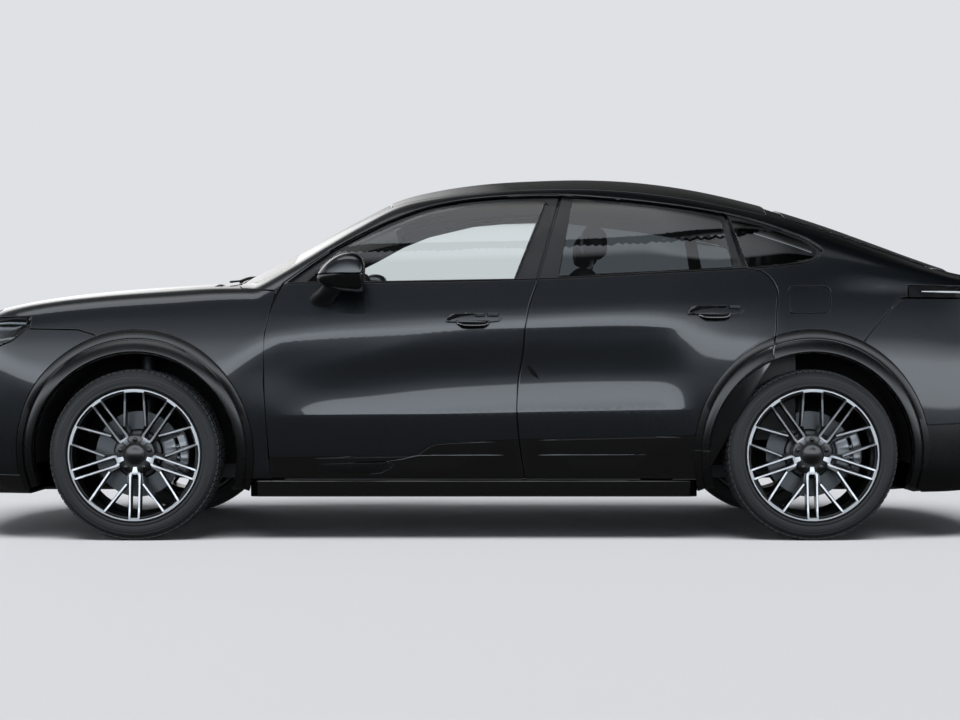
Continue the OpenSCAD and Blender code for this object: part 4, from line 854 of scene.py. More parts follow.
noseHalf = np.vstack([openFront([(0, 200), (-500, 200)], 10),
                      openSide([(-2230, 196), (-1990, 195), (-1562, 194), (-1562, 740), (-1672, 878),
                                (-1744, 899), (-1949, 903), (-1949, 955), (-2110, 955), (-2110, 985)], 8),
                      openPlan([(-2112, -690), (-2110, -632), (-2215, -552), (-2285, -412), (-2322, -214),
                                (-2334, 0)],
                               8)])
addPanel("frontBumperSkin", "body", finishes["paint"],
         layPanel("nose", [withMirror(noseHalf)],
                  [noseArch, flipY(noseArch), lampLoop, flipY(lampLoop), bonnetLoop, lipLoop, centreIntake,
                   sideIntake, flipY(sideIntake)], spacing=24.))
addPanel("frontLip", "body", finishes["gloss"],
         layPanel("nose", [withMirror(noseHalf), lipLoop], [noseArch, flipY(noseArch)], spacing=24., depth=3.,
                  inset=1.))
tailLower = np.vstack([openRear([(0, 206), (-500, 206)], 10),
                       openSide([(2230, 212), (1990, 200), (1562, 194), (1562, 740), (1632, 862),
                                 (1796, 1037), (2180, 1037)], 8),
                       openRear([(-660, 1037), (-644, 1030), (-644, 784), (0, 784)], 8)])
addPanel("rearBumperSkin", "body", finishes["paint"],
         layPanel("tail", [withMirror(tailLower)], [tailArch, flipY(tailArch), rearLowLoop], spacing=24.))
addPanel("rearLowerTrim", "body", finishes["satin"],
         layPanel("tail", [withMirror(tailLower), rearLowLoop], [tailArch, flipY(tailArch)], spacing=24.,
                  depth=4., inset=1.))
addPanel("windscreenGlass", "body", finishes["clearGlass"],
         layPanel("top", [screenLoop], [bonnetLoop], spacing=40., depth=2., flange=4.), ("windscreen",))
addPanel("rearScreenGlass", "tailgate", finishes["darkGlass"],
         layPanel("top", [rearGlassLoop], spacing=40., depth=2., flange=4.), ("rear_glass",))
print("outer panels")

for node, body in (("door_front_left", "front_door_left"), ("door_front_right", "front_door_right"),
                   ("door_rear_left", "rear_door_left"), ("door_rear_right", "rear_door_right"),
                   ("bonnet", "bonnet"), ("tailgate", "tailgate"), ("side_frame_left", "body"),
                   ("side_frame_right", "body"), ("roof_panel", "body"), ("fenders", "body"),
                   ("front_bumper", "body"), ("rear_bumper", "body")):
    innerShell(node + "Inner", node, body, "body_paint", finishes["paintInside"],
               *((17., 17.) if "door" in node else (9., 4.)))
innerShell("archTrimInner", "arch_trims", "body", "trim_plastic", finishes["matt"], 3., 12.)
print("inner shells")

# Wheel arch mouldings swept round each opening: a flush outer band, a groove and a rolled inner lip
# Section rows: share of the way inwards, and how far the surface stands off the body
mouldings = {"outer": (506, 534), "inner": (436, 437),
             "section": [(0, -16), (0, 1), (.015, 3.), (.05, 3.8), (.36, 5.4), (.375, 4.6), (.38, -3),
                         (.425, -3.4), (.43, -.4), (.45, .8), (.60, 5.4), (.66, 7.), (.90, 11.2),
                         (.965, 10.6), (1, 6.5), (1, -38)]}


def archMoulding(x, start, end, low=0., high=1.):
    # start and end give the angle in degrees for a share; low and high limit the section
    m = mouldings
    section = [p for p in m["section"] if low <= p[0] <= high]
    if low > 0:
        section = [(low, -14)] + section
    if high < 1:
        last = [p for p in m["section"] if p[0] >= high][0]
        section += [(high, last[1] - .2), (high, -14)]
    n = 90
    verts = []
    for t, off in section:
        a = np.radians(np.linspace(start(t), end(t), n))
        rx, rz = [m["outer"][k] + (m["inner"][k] - m["outer"][k]) * t for k in (0, 1)]
        p = fromSide(np.stack([x + rx * np.cos(a), bodyShape["axleZ"] + rz * np.sin(a)], 1))
        verts.append(p + bodyNormals(p) * off)
    k = len(section)
    faces = [[i * n + j, i * n + j + 1, (i + 1) * n + j + 1, (i + 1) * n + j] for i in range(k - 1)
             for j in range(n - 1)]
    faces += [[i * n for i in range(k)], [i * n + n - 1 for i in range(k)][::-1]]
    return np.vstack(verts), faces


def addMoulding(name, bodies, x, start, end, low=0., high=1.):
    verts, faces = archMoulding(x, start, end, low, high)
    for side, body in zip(("Left", "Right"), bodies):
        v, f, _ = mirrorY(verts, faces) if side == "Right" else (verts, faces, None)
        piece = addPiece(name + side, v / 1000, f, finishes["satin"], body)
        piece.data.set_sharp_from_angle(angle=math.radians(40))


frontX, rearX = bodyShape["frontAxleX"], bodyShape["rearAxleX"]
doorShare = .84


def cutAngle(t):
    # The angle at which the rear door's shut line crosses the moulding, by share of its width
    return 108.9 + 3.9 * t / doorShare


addMoulding("frontMoulding", ("body", "body"), frontX, lambda t: -17, lambda t: 197)
addMoulding("rearMoulding", ("body", "body"), rearX, lambda t: -17, lambda t: cutAngle(t) - .5)
addMoulding("rearMouldingLip", ("body", "body"), rearX, lambda t: 112.4, lambda t: 177, .87)
addMoulding("rearMouldingFoot", ("body", "body"), rearX, lambda t: 178, lambda t: 197)
addMoulding("rearDoorMoulding", doorBodies["rear"], rearX, lambda t: cutAngle(t) + .3,
            lambda t: 176.6, 0., doorShare)


# Felted walls that close the wheel arches towards the cabin
houseShape = {"radius": 440, "wall": 4, "drop": 60, "inside": {"front": 492, "rear": 596}}


def wheelHouse(x, inside):
    h = houseShape
    outline = arcPoints(0, 0, h["radius"], h["radius"], -8, 188, 40)
    verts = [(x + a, -y, bodyShape["axleZ"] + max(b, -h["drop"])) for y in (inside, inside + h["wall"])
             for a, b in outline]
    n = len(outline)
    faces = [list(range(n)), list(range(2 * n - 1, n - 1, -1))]
    faces += [[i, n + i, n + (i + 1) % n, (i + 1) % n] for i in range(n)]
    return np.array(verts, float), faces


for place, x in (("front", frontX), ("rear", rearX)):
    verts, faces = wheelHouse(x, houseShape["inside"][place])
    for side, flip in (("Left", 0), ("Right", 1)):
        v, f, _ = mirrorY(verts, faces) if flip else (verts, faces, None)
        addPiece(place + "HouseWall" + side, v / 1000, f, finishes["under"], "body",
                 flat=True)

# Finishes of the nodes that stay as they are
for node, finish in {"arch_liners": "under", "floor_pan": "under",
                     "front_bay": "matt", "battery_pack": "case", "front_axle_frame": "cast",
                     "rear_axle_frame": "cast", "dashboard": "cabin", "steering_wheel": "leather",
                     "light_bar": "gloss", "tail_lamps": "gloss"}.items():
    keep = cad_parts[node].data.materials
    keep.clear()
    keep.append(finishes[finish])

print("arch mouldings")


# Wheels, tyres and brakes, in the wheel's own axes with +Z outwards
wheel = {"frontX": -1494, "rearX": 1399, "y": 825, "z": 365, "faceZ": 104, "lipZ": 123.5, "hubRadius": 84,
         "boltCircle": 65, "capRadius": 46, "discRadius": 185, "forks": (-90, -18, 54, 126, 198),
         "pairs": (90, 162, 234, 306, 18), "forkHalf": (20.6, 19.8), "pairHalf": (45, 38.8), "faceHalf": 4.3,
         "barDepth": 34, "barEndRadius": 271, "forkRootRadius": 78, "pairRootRadius": 122,
         "brightRadius": 272.4}


def latheMesh(profile, count=96):
    # Turns a closed profile of (radius, height) about the wheel's axle
    r, z = np.array(profile, float).T
    a = np.arange(count) * 2 * math.pi / count
    verts = np.stack([np.outer(np.cos(a), r).ravel(), np.outer(np.sin(a), r).ravel(), np.tile(z, count)], 1)
    k = len(profile)
    faces = [[i * k + j, ((i + 1) % count) * k + j, ((i + 1) % count) * k + (j + 1) % k, i * k + (j + 1) % k]
             for i in range(count) for j in range(k)]
    return verts, faces


def sweptBar(path, half, top, depth, draft=3.5, chamfer=1.3):
    # A bar along a flat path: chamfered face at height top, sides that widen downwards
    p = np.array(path, float)
    n = len(p)
    half, top, depth = [np.broadcast_to(np.array(v, float), n) for v in (half, top, depth)]
    t = np.gradient(p, axis=0)
    t /= np.linalg.norm(t, axis=1)[:, None]
    across = np.stack([-t[:, 1], t[:, 0]], 1)
    rows = [(-half - draft, top - depth), (-half, top - chamfer), (-half + chamfer, top),
            (half - chamfer, top), (half, top - chamfer), (half + draft, top - depth)]
    verts = np.stack([np.column_stack([p + across * w[:, None], z]) for w, z in rows], 1).reshape(-1, 3)
    return verts, ringFaces(n, len(rows), True)


def joined(parts):
    verts, faces, at = [], [], 0
    for v, f in parts:
        verts.append(np.array(v, float))
        faces += [[k + at for k in q] for q in f]
        at += len(v)
    return np.vstack(verts), faces


def turned(part, degrees):
    c, s = math.cos(math.radians(degrees)), math.sin(math.radians(degrees))
    v = np.array(part[0], float)
    return np.column_stack([v[:, 0] * c - v[:, 1] * s, v[:, 0] * s + v[:, 1] * c, v[:, 2]]), part[1]


def rimParts():
    w = wheel
    lip, face = w["lipZ"], w["faceZ"]
    barrel = latheMesh([(250, -112), (250, 20), (251, 62), (256, 88), (264, 104), (270, lip - 7),
                        (273.5, lip - 1.2), (275, lip), (282, lip), (284.5, lip - 2), (284.5, 116),
                        (266, 115), (266, -115.5), (284, -115.5), (284.5, -123), (272, -124),
                        (258, -118)], 120)
    hub = latheMesh([(0.01, 60), (0.01, 95.2), (w["capRadius"] - 20, 95.2), (w["capRadius"] - 19, 94.6),
                     (w["capRadius"] - 7, 94.4), (w["capRadius"] - 5.4, 94), (w["capRadius"] - 4.2, 92.6),
                     (w["capRadius"] - 3.8, 87.5), (w["capRadius"] + 1, 87.5), (w["capRadius"] + 3, 91.5),
                     (w["hubRadius"] - 10, 92.5), (w["hubRadius"] - 2, 90), (w["hubRadius"], 84),
                     (w["hubRadius"] + 2, 40), (w["hubRadius"], -20), (30, -22), (28, 60)], 80)
    black, bright = [barrel, hub], [latheMesh([(275.6, lip + .05), (275.6, lip + .35), (281, lip + .35),
                                               (281, lip + .05)], 120)]
    outer, inner, root = w["barEndRadius"], w["forkRootRadius"], w["pairRootRadius"]
    for a in w["forks"]:
        h0, h1 = w["forkHalf"]
        left = [(r, -(h0 + (h1 - h0) * (r - inner) / (outer - inner)))
                for r in np.linspace(outer, inner + 16, 16)]
        bend = [(inner + 16 - 16 * math.sin(t), -h0 + h0 * .78 * (1 - math.cos(t)) * .55)
                for t in np.linspace(.2, math.pi / 2, 6)]
        path = left + bend + [(x, -y) for x, y in bend[::-1]] + [(x, -y) for x, y in left[::-1]]
        r = np.array([p[0] for p in path])
        top = np.interp(r, [inner, 130, 240, outer], [face - 8, face - 3, face + 8, lip - 1])
        half = np.interp(r, [inner, inner + 14, 130, outer], [7.2, 6.2, 5, w["faceHalf"] + .9])
        depth = np.interp(r, [inner, 200, outer], [w["barDepth"] + 6, w["barDepth"], 26])
        black.append(turned(sweptBar(path, half, top, depth), a))
        bright.append(turned(sweptBar(path, half - 1.6, top + .35, .3, 0., .1), a))
        # small bright foot between the fork and the cap, on a dark block
        foot = [(r, 0) for r in (52, 60, 68, 77)]
        black.append(turned(sweptBar(foot, [10, 11, 13, 16], [93, 95, 96.5, face - 7], 30), a))
        bright.append(turned(sweptBar(foot, [8, 9, 10.5, 12.5], [93.4, 95.4, 96.9, face - 6.6], .3, 0., .1),
                             a))
        arc = [(math.cos(t) * w["brightRadius"], math.sin(t) * w["brightRadius"])
               for t in np.linspace(-.085, .085, 9)]
        bright.append(turned(sweptBar(arc, 3.6, lip + .3, .4, 0., .1), a))
    for a in w["pairs"]:
        h0, h1 = w["pairHalf"]
        for y in (-1, 1):
            path = [(r, y * (h0 + (h1 - h0) * (r - root) / (outer - root)))
                    for r in np.linspace(outer, root, 14)]
            r = np.array([p[0] for p in path])
            top = np.interp(r, [root, 150, 240, outer], [face - 5, face - 1, face + 8, lip - 1])
            half = np.interp(r, [root, 150, outer], [4.6, 4.9, w["faceHalf"] + .9])
            black.append(turned(sweptBar(path, half + .5, top, 32), a))
            bright.append(turned(sweptBar(path, half - 1.3, top + .35, .3, 0., .1), a))
            stem = [(124, y * 45), (112, y * 44), (98, y * 40), (82, y * 34), (66, y * 28)]
            black.append(turned(sweptBar(stem, [6, 9, 11, 12, 12], [face - 6, face - 11, 90, 86, 84],
                                         [30, 32, 40, 46, 50]),
                                a))
        arc = [(math.cos(t) * w["brightRadius"], math.sin(t) * w["brightRadius"])
               for t in np.linspace(-.155, .155, 15)]
        bright.append(turned(sweptBar(arc, 3.6, lip + .3, .4, 0., .1), a))
    return joined(black), joined(bright)


def discParts():
    r = wheel["discRadius"]
    face = latheMesh([(104, -12), (104, -3), (108, 2.2), (r - 1, 2.2), (r, 1), (r, -9), (112, -9), (112, -16),
                      (r, -16), (r, -25), (r - 1, -26), (96, -26), (96, -12)], 96)
    hat = latheMesh([(86, -24), (86, 22), (96, 22), (101, 19), (103.6, 12), (103.6, -24)], 64)
    return face, hat


# A ring of copies: nuts, cooling vanes and tread blocks are all made by this one tree
def ringTree():
    tree = bpy.data.node_groups.new("ringOfCopies", "GeometryNodeTree")
    face = tree.interface
    for name, kind, value in (("Geometry", "NodeSocketGeometry", None), ("Count", "NodeSocketInt", 5),
                              ("Radius", "NodeSocketFloat", .065), ("Lift", "NodeSocketFloat", 0.),
                              ("Turn", "NodeSocketFloat", 0.), ("Copy", "NodeSocketObject", None),
                              ("Finish", "NodeSocketMaterial", None)):
        socket = face.new_socket(name, in_out="INPUT", socket_type=kind)
        if value is not None:
            socket.default_value = value
    face.new_socket("Geometry", in_out="OUTPUT", socket_type="NodeSocketGeometry")
    given = addNode(tree, "NodeGroupInput", (-900, 0))
    ring = addNode(tree, "GeometryNodeMeshCircle", (-650, 100), Vertices=(given, "Count"),
                   Radius=(given, "Radius"))
    place = addNode(tree, "ShaderNodeCombineXYZ", (-650, -100), Z=(given, "Lift"))
    swing = addNode(tree, "ShaderNodeCombineXYZ", (-650, -250), Z=(given, "Turn"))
    move = addNode(tree, "GeometryNodeTransform", (-450, 50), Geometry=(ring, 0), Translation=(place, 0),
                   Rotation=(swing, 0))
    where = addNode(tree, "GeometryNodeInputPosition", (-650, -400))
    flat = addNode(tree, "ShaderNodeVectorMath", (-450, -350), _operation="MULTIPLY", i0=(where, 0),
                   i1=(1, 1, 0))
    face2 = addNode(tree, "FunctionNodeAlignRotationToVector", (-250, -300), _axis="X", _pivot_axis="Z",
                    Vector=(flat, 0))
    one = addNode(tree, "GeometryNodeObjectInfo", (-450, -150), Object=(given, "Copy"))
    copies = addNode(tree, "GeometryNodeInstanceOnPoints", (-50, 0), Points=(move, 0),
                     Instance=(one, "Geometry"), Rotation=(face2, 0))
    real = addNode(tree, "GeometryNodeRealizeInstances", (150, 0), Geometry=(copies, 0))
    finish = addNode(tree, "GeometryNodeSetMaterial", (350, 0), Geometry=(real, 0),
                     Material=(given, "Finish"))
    addNode(tree, "NodeGroupOutput", (550, 0), Geometry=(finish, 0))
    return tree


ringOfCopies = ringTree()


def plainObject(name, part):
    mesh = bpy.data.meshes.new(name)
    mesh.from_pydata([tuple(v) for v in part[0]], [], [tuple(int(k) for k in f) for f in part[1]])
    mesh.update()
    made = bpy.data.objects.new(name, mesh)
    bpy.context.scene.collection.objects.link(made)
    return made


def ringMesh(copyPart, count, radius, lift, turn, finish):
    # Runs the ring tree and returns the points (mm) and faces that it made
    copy = plainObject("copyForRing", (np.array(copyPart[0]) / 1000, copyPart[1]))
    holder = plainObject("ringHolder", ([(0, 0, 0)], []))
    modifier = holder.modifiers.new("ring", "NODES")
    modifier.node_group = ringOfCopies
    socket = {item.name: item.identifier for item in ringOfCopies.interface.items_tree
              if item.in_out == "INPUT"}
    for name, value in (("Count", count), ("Radius", radius / 1000), ("Lift", lift / 1000),
                        ("Turn", math.radians(turn)), ("Copy", copy), ("Finish", finish)):
        modifier[socket[name]] = value
    bpy.context.view_layer.update()
    made = bpy.data.meshes.new_from_object(holder.evaluated_get(bpy.context.evaluated_depsgraph_get()))
    verts = np.empty(len(made.vertices) * 3)
    made.vertices.foreach_get("co", verts)
    faces = [list(p.vertices) for p in made.polygons]
    for item in (holder, copy):
        bpy.data.objects.remove(item)
    return verts.reshape(-1, 3) * 1000, faces


def nutPart():
    # A wheel nut: hexagon with a rounded crown and a flat seat, its axis along +Z
    rows = [(12.5, -6), (12.5, 0), (11, 1.5), (11, 10), (9.6, 12.4), (5.2, 13.4)]
    verts = [(r * math.cos(math.radians(60 * k)), r * math.sin(math.radians(60 * k)), z) for r, z in rows
             for k in range(6)]
    return verts, ringFaces(len(rows), 6, True)


def blockPart(width, length, height, skew, shift=0.):
    # One tread block: skewed, a chamfered top and a shallow slot; out is +X, round the tyre is Y, across is Z
    w, l = width / 2, length / 2
    ring = [(-w, -l), (-w * .1, -l), (-w * .1, -l * .2), (w * .1, -l * .2), (w * .1, -l), (w, -l), (w, l),
            (-w, l)]
    verts = []
    for x, k in ((-5, 1.), (height - 1, 1.), (height, .94)):
        verts += [(x, y * k + skew * z, z * k + shift) for z, y in ring]
    n = len(ring)
    return verts, ringFaces(3, n) + [[2 * n + k for k in range(n)]]


def tyreParts():
    half = [(271, 101), (272, 115), (286, 117), (288.5, 121), (291, 125.5), (296, 127.4), (301, 126.6),
            (303, 125.2), (308, 125.6), (318, 126.6), (321, 126.2), (322, 125.4), (324, 125.4), (325, 126),
            (333, 124.6), (336, 123.2), (338, 123.4), (345, 119), (350, 114), (354, 109), (357.5, 103),
            (359, 96), (359.5, 84)]
    tread = [(359.6, 60), (359.6, 56), (357.6, 55), (357.6, 47), (359.8, 46), (360.2, 8), (358, 7), (358, 0)]
    outer = half + tread
    inner = [(340, 100), (300, 116), (276, 100)]
    profile = outer + [(a, -b) for a, b in outer[::-1]] + [(a, -b) for a, b in inner[::-1]] + inner
    body = latheMesh(profile, 144)
    rows = []
    for z, width, count, skew, turn in ((94, 30, 84, .25, 0), (70, 22, 84, -.18, 2), (31, 26, 96, .3, 1),
                                        (-31, 26, 96, .3, 2), (-70, 22, 84, -.18, 0), (-94, 30, 84, .25, 3)):
        top = 364.9 if abs(z) < 80 else 361.6
        length = 2 * math.pi * 360 / count * .8
        rows.append(ringMesh(blockPart(width, length, 5, skew), count, top - 5, z, turn, finishes["tyre"]))
    return joined([body] + rows)


rimBlack, rimBright = rimParts()
discFace, discHat = discParts()
vanes = ringMesh(([(0, -1.6, -16.5), (0, 1.6, -16.5), (-60, 1.6, -16.5), (-60, -1.6, -16.5), (0, -1.6, -8.5),
                   (0, 1.6, -8.5), (-60, 1.6, -8.5), (-60, -1.6, -8.5)],
                  [(0, 1, 5, 4), (1, 2, 6, 5), (2, 3, 7, 6), (3, 0, 4, 7)]), 48, wheel["discRadius"] - 4, 0,
                  0,
                 finishes["steel"])
nuts = ringMesh(nutPart(), 5, wheel["boltCircle"], 90.5, 90, finishes["satin"])
tyreMesh = tyreParts()
disc = joined([discFace, vanes])


def atCorner(part, x, right):
    v = np.array(part[0], float)
    v = np.column_stack([v[:, 0] + x, -v[:, 2] - wheel["y"], v[:, 1] + wheel["z"]])
    faces = part[1]
    if right:
        v, faces, _ = mirrorY(v, faces)
    return v / 1000, faces


def addTurned(name, part, x, right, finish, body, replaces=(), angle=32):
    v, faces = atCorner(part, x, right)
    piece = addPiece(name, v, faces, finishes[finish], body, replaces=replaces)
    piece.data.set_sharp_from_angle(angle=math.radians(angle))
    return piece


def caliperPart(start=-21, end=27):
    # Bridge casting over the disc: ribs, a raised pad window and rounded ends
    rows = [(117, 8.5), (117, 34), (121, 38), (150, 41), (168, 42), (172, 38), (184, 38), (188, 43),
            (216, 39), (222.5, 33), (223, -50), (192, -56), (192, 7.5), (150, 7.5)]
    n = 26
    verts = []
    for k in range(n):
        t = k / (n - 1)
        a = math.radians(start + (end - start) * t)
        end1 = min(1, min(t, 1 - t) * 9 + .55)
        rib = 3.5 if k in (8, 9, 16, 17) else 0
        for r, z in rows:
            z2 = z if z < 10 else (z - 20) * end1 + 20 + (rib if 150 < r < 215 and z > 30 else 0)
            verts.append((r * math.cos(a), r * math.sin(a), z2))
    return verts, [f[::-1] for f in ringFaces(n, len(rows), True)]


for end, x in (("front", wheel["frontX"]), ("rear", wheel["rearX"])):
    for side in ("left", "right"):
        body, right = f"{end}_wheel_{side}", side == "right"
        tag = end + side.capitalize()
        addTurned(tag + "RimLacquered", rimBlack, x, right, "alloyDark", body,
                  ("wheel_" + end + "_" + side,))
        addTurned(tag + "RimMachined", rimBright, x, right, "chrome", body)
        addTurned(tag + "Nuts", nuts, x, right, "satin", body, angle=20)
        addTurned(tag + "BrakeDisc", disc, x, right, "steel", body)
        addTurned(tag + "DiscHat", discHat, x, right, "cast", body)
        addTurned(tag + "Tyre", tyreMesh, x, right, "tyre", body,
                  ("tyre_" + end + "_" + side,), 28)
        addTurned(tag + "Caliper", caliperPart(), x, right, "caliper", "steering_" + side if end == "front"
                  else "body",
                  angle=25)
print("wheels")


# Handles, charge flap, mirrors, lamps and trim
def tube(path, radii, sides=12, squash=1.):
    # A round or flattened bar along a 3-D line (mm), with flat capped ends
    p = np.array(path, float)
    n = len(p)
    radii = np.broadcast_to(np.array(radii, float), n)
    t = np.gradient(p, axis=0)
    t /= np.linalg.norm(t, axis=1)[:, None]
    up = np.tile([0., 0, 1], (n, 1))
    side = np.cross(t, up)
    side /= np.maximum(np.linalg.norm(side, axis=1), 1e-6)[:, None]
    up = np.cross(side, t)
    a = np.arange(sides) * 2 * math.pi / sides
    turn = a[None, :, None]
    verts = (p[:, None] + (side[:, None] * np.cos(turn) + up[:, None] * np.sin(turn) * squash)
             * radii[:, None, None]).reshape(-1, 3)
    return verts, ringFaces(n, sides, True)


def addTube(name, path, radii, finish, sides=12, squash=1., body="body"):
    verts, faces = tube(path, radii, sides, squash)
    return addPiece(name, verts / 1000, faces, finishes[finish], body)


def sunk(points, depth):
    return points - bodyNormals(points) * depth


def bothPieces(name, part, finish, bodies=("body", "body"), angle=35, replaces=((), ())):
    for k, side in enumerate(("Left", "Right")):
        v, f, _ = mirrorY(np.array(part[0]), part[1]) if k else (np.array(part[0]), part[1], None)
        piece = addPiece(name + side, v / 1000, f, finishes[finish], bodies[k], replaces=replaces[k])
        piece.data.set_sharp_from_angle(angle=math.radians(angle))


for end, (dx, dz) in handle["shift"].items():
    blade = sideLoop([(x + dx, z + dz) for x, z in handle["blade"]], 4, 1)
    bothSides(end + "Handle", *doorBodies[end], "body_paint", "paint",
              layPanel("fan", [blade], spacing=7., depth=-handle["proud"], dish=(-9., 16.), bevel=2.,
                       flange=handle["proud"] - 2, inset=0.))
    cup = cups[end]
    bothSides(end + "HandleCup", *doorBodies[end], "trim_plastic", "gloss",
              layPanel("fan", [cup], spacing=7., dish=(9., 16.), bevel=.5, flange=3., inset=0.))
flapLay = layPanel("fan", [flap], spacing=20., inset=1.1, bevel=1.2, flange=4.)
bothSides("chargeFlap", "body", "body", "body_paint", "paint", flapLay)

# Painted highlight along the lower blades: a thin bright line on the step at their crease, widest between the
# doors and thinning towards the ends where the highlight fades; and the sill panel below the doors
for end, (x0, x1) in {"front": (-420, 138), "rear": (158, 640)}.items():
    line = fromSide([(x, float(np.interp(x, *np.array(bladeCrease).T)) + 1) for x in np.linspace(x0, x1, 40)])
    # Painted highlight: the bright line's width stands in for the highlight on the blade crease, thinning
    # where that highlight fades
    share = np.linspace(0, 1, 40) if end == "front" else np.linspace(1, .05, 40)
    thin = 1.7 * np.sqrt(np.clip(share, .03, 1))
    bothPieces(end + "BladeLine", tube(sunk(line, 4.2), thin, 8), "chrome", doorBodies[end])
sill = {"length": (-1005, 912), "section": [(-828, 184), (-866, 182.5), (-882, 184), (-890, 189), (-901, 243),
                                            (-902, 250), (-897, 256), (-889, 259), (-842, 260.5),
                                            (-828, 258)]}
stations = np.linspace(*sill["length"], 60)
ends = np.clip(np.minimum(stations - stations[0], stations[-1] - stations) / 30 + .6, 0, 1)
sillVerts = np.array([(x, -828 + (y + 828) * e, z) for x, e in zip(stations, ends)
                      for y, z in sill["section"]])
k = len(sill["section"])
sillFaces = [[i * k + j, (i + 1) * k + j, (i + 1) * k + (j + 1) % k, i * k + (j + 1) % k] for i in range(59)
             for j in range(k)] + [list(range(k)), [59 * k + j for j in range(k)][::-1]]
bothPieces("sillPanel", (sillVerts, sillFaces), "gloss", replaces=(("side_skirts",), ()))

# Door mirrors: a painted cap over a black housing on a foot, with a mirror glass
mirror = {"outer": -1096, "inner": -893, "rearX": -508, "length": 206, "z": 1132, "height": 158, "capZ": 1128,
          "profile": [(0, -.42), (.004, 0), (-.01, .34), (-.07, .48), (-.2, .55), (-.38, .56), (-.58, .47),
                      (-.78, .28), (-.93, .05), (-1, -.12), (-.97, -.24), (-.85, -.34), (-.6, -.42),
                      (-.3, -.46), (-.06, -.47)]}


def mirrorShell(low, high, grow):
    # The housing between two heights
    m = mirror
    closed = m["profile"] + [m["profile"][0]]
    loop = np.array(dense(flow(closed, .03), .055, soft=1))
    rows = []
    n = 26
    for t in np.linspace(-1, 1, n):
        e = (1 - min(1, abs(t)) ** 3.2) ** (1 / 2.6) if t > 0 else (1 - abs(t) ** 4) ** .5
        e = max(e, .02)
        y = (m["outer"] + m["inner"]) / 2 - t * (m["inner"] - m["outer"]) / 2
        x = m["rearX"] - 2 + loop[:, 0] * m["length"] * (.35 + .65 * e) - (1 - e) * 12
        z = m["z"] + loop[:, 1] * m["height"] * e + 6 * t
        rows.append(np.stack([x, np.full(len(x), y), z], 1))
    v = np.vstack(rows)
    centre = v.mean(0)
    v = centre + (v - centre) * grow
    v[:, 2] = np.clip(v[:, 2], low, high)
    bm = bmesh.new()
    points = [bm.verts.new(p) for p in v]
    for f in ringFaces(n, len(loop), True):
        bm.faces.new([points[q] for q in f])
    bmesh.ops.remove_doubles(bm, verts=bm.verts, dist=.05)
    bmesh.ops.dissolve_degenerate(bm, edges=bm.edges, dist=.02)
    bmesh.ops.recalc_face_normals(bm, faces=bm.faces)
    bm.verts.index_update()
    made = [tuple(p.co) for p in bm.verts], [[p.index for p in f.verts] for f in bm.faces]
    bm.free()
    return made


bothPieces("mirrorCap", mirrorShell(mirror["capZ"] + 6, 2000, 1.), "paint", doorBodies["front"],
           50, (("mirror_left",), ("mirror_right",)))
bothPieces("mirrorHousing", mirrorShell(0, mirror["capZ"] + 3, .965), "satin",
           doorBodies["front"], 50)
foot = flow([(-640, -1004, 1092), (-656, -978, 1066), (-680, -940, 1044), (-694, -905, 1032),
             (-698, -876, 1026)], 8)
bothPieces("mirrorFoot", tube(foot, np.interp(np.arange(len(foot)), [0, len(foot) - 1], [44, 54]), 24, .62),
           "matt", doorBodies["front"])
glassLoop = dense([(-915, 1078), (-912, 1150), (-935, 1192), (-1010, 1204), (-1062, 1190), (-1076, 1140),
                   (-1066, 1086), (-1000, 1072)], 6, soft=3)
n = len(glassLoop)
glassVerts = np.vstack([np.column_stack([np.full(n, x), glassLoop]) for x in (-520, -516)])
bothPieces("mirrorGlass", (glassVerts, [list(range(n)), list(range(2 * n - 1, n - 1, -1))]
                           + [[i, n + i, n + (i + 1) % n, (i + 1) % n][::-1] for i in range(n)]),
                           "mirrorGlass",
           doorBodies["front"], 20)

# Headlamps: a dark bowl, two light bars and two projectors behind a clear lens
housing = layPanel("nose", [lampLoop], [bonnetLoop], spacing=16., depth=2.5, dish=(30., 44.), bevel=1.,
                   flange=6.)
bothSides("headlampBowl", "body", "body", "headlamp", "gloss", housing, (("headlamps",), ()))
bothSides("headlampLens", "body", "body", "headlamp", "lampLens",
          layPanel("nose", [lampLoop], [bonnetLoop], spacing=20., depth=1., bevel=1., flange=3.))
for k, (sidePart, frontPart) in enumerate((
        ([(-1968, 930), (-2060, 933), (-2170, 926)], [(-690, 914), (-560, 910)]),
        ([(-2012, 868), (-2080, 858), (-2180, 860)], [(-690, 866), (-560, 868)]))):
    line = np.vstack([openSide(sidePart, 12, 1), openFront(frontPart, 12)])
    line = np.array(flow(line[::3], 6))
    bothPieces(f"headlampBar{k + 1}", tube(sunk(line, 11), 3.6, 8, 1.3), "lampWhite")
for k, (y, z) in enumerate(((-600, 890), (-690, 889))):
    seat = sunk(fromFront([(y, z)]), 30)[0]
    lens = [(0.01, 12), (8, 10.5), (14, 6.5), (17.5, 0), (19, 0), (19, 3), (22, 3), (22, -10), (0.01, -10)]
    v, f = latheMesh(lens, 36)
    v = np.column_stack([seat[0] - v[:, 2], seat[1] + v[:, 0], seat[2] + v[:, 1]])
    bothPieces(f"headlampProjector{k + 1}", (v, [q[::-1] for q in f]), "mirrorGlass", angle=30)

# Tail lights: a thin frosted guide from the corners across the tailgate
guide = np.vstack([openSide([(1850, 1067), (2150, 1067)], 10, 0),
                   openRear([(-700, 1067), (-560, 1067)], 10)])
guide = sunk(np.array(flow(guide[::3], 8)), 5)
bothPieces("tailGuide", tube(guide[guide[:, 1] < -628], 3.6, 8, 1.2), "lampWhite")
middle = sunk(openRear([(-618, 1067), (618, 1067)], 10), 5)
addTube("tailgateGuide", middle, 3.6, "lampWhite", 8, 1.2, "tailgate")

print("handles, mirrors and lamps")


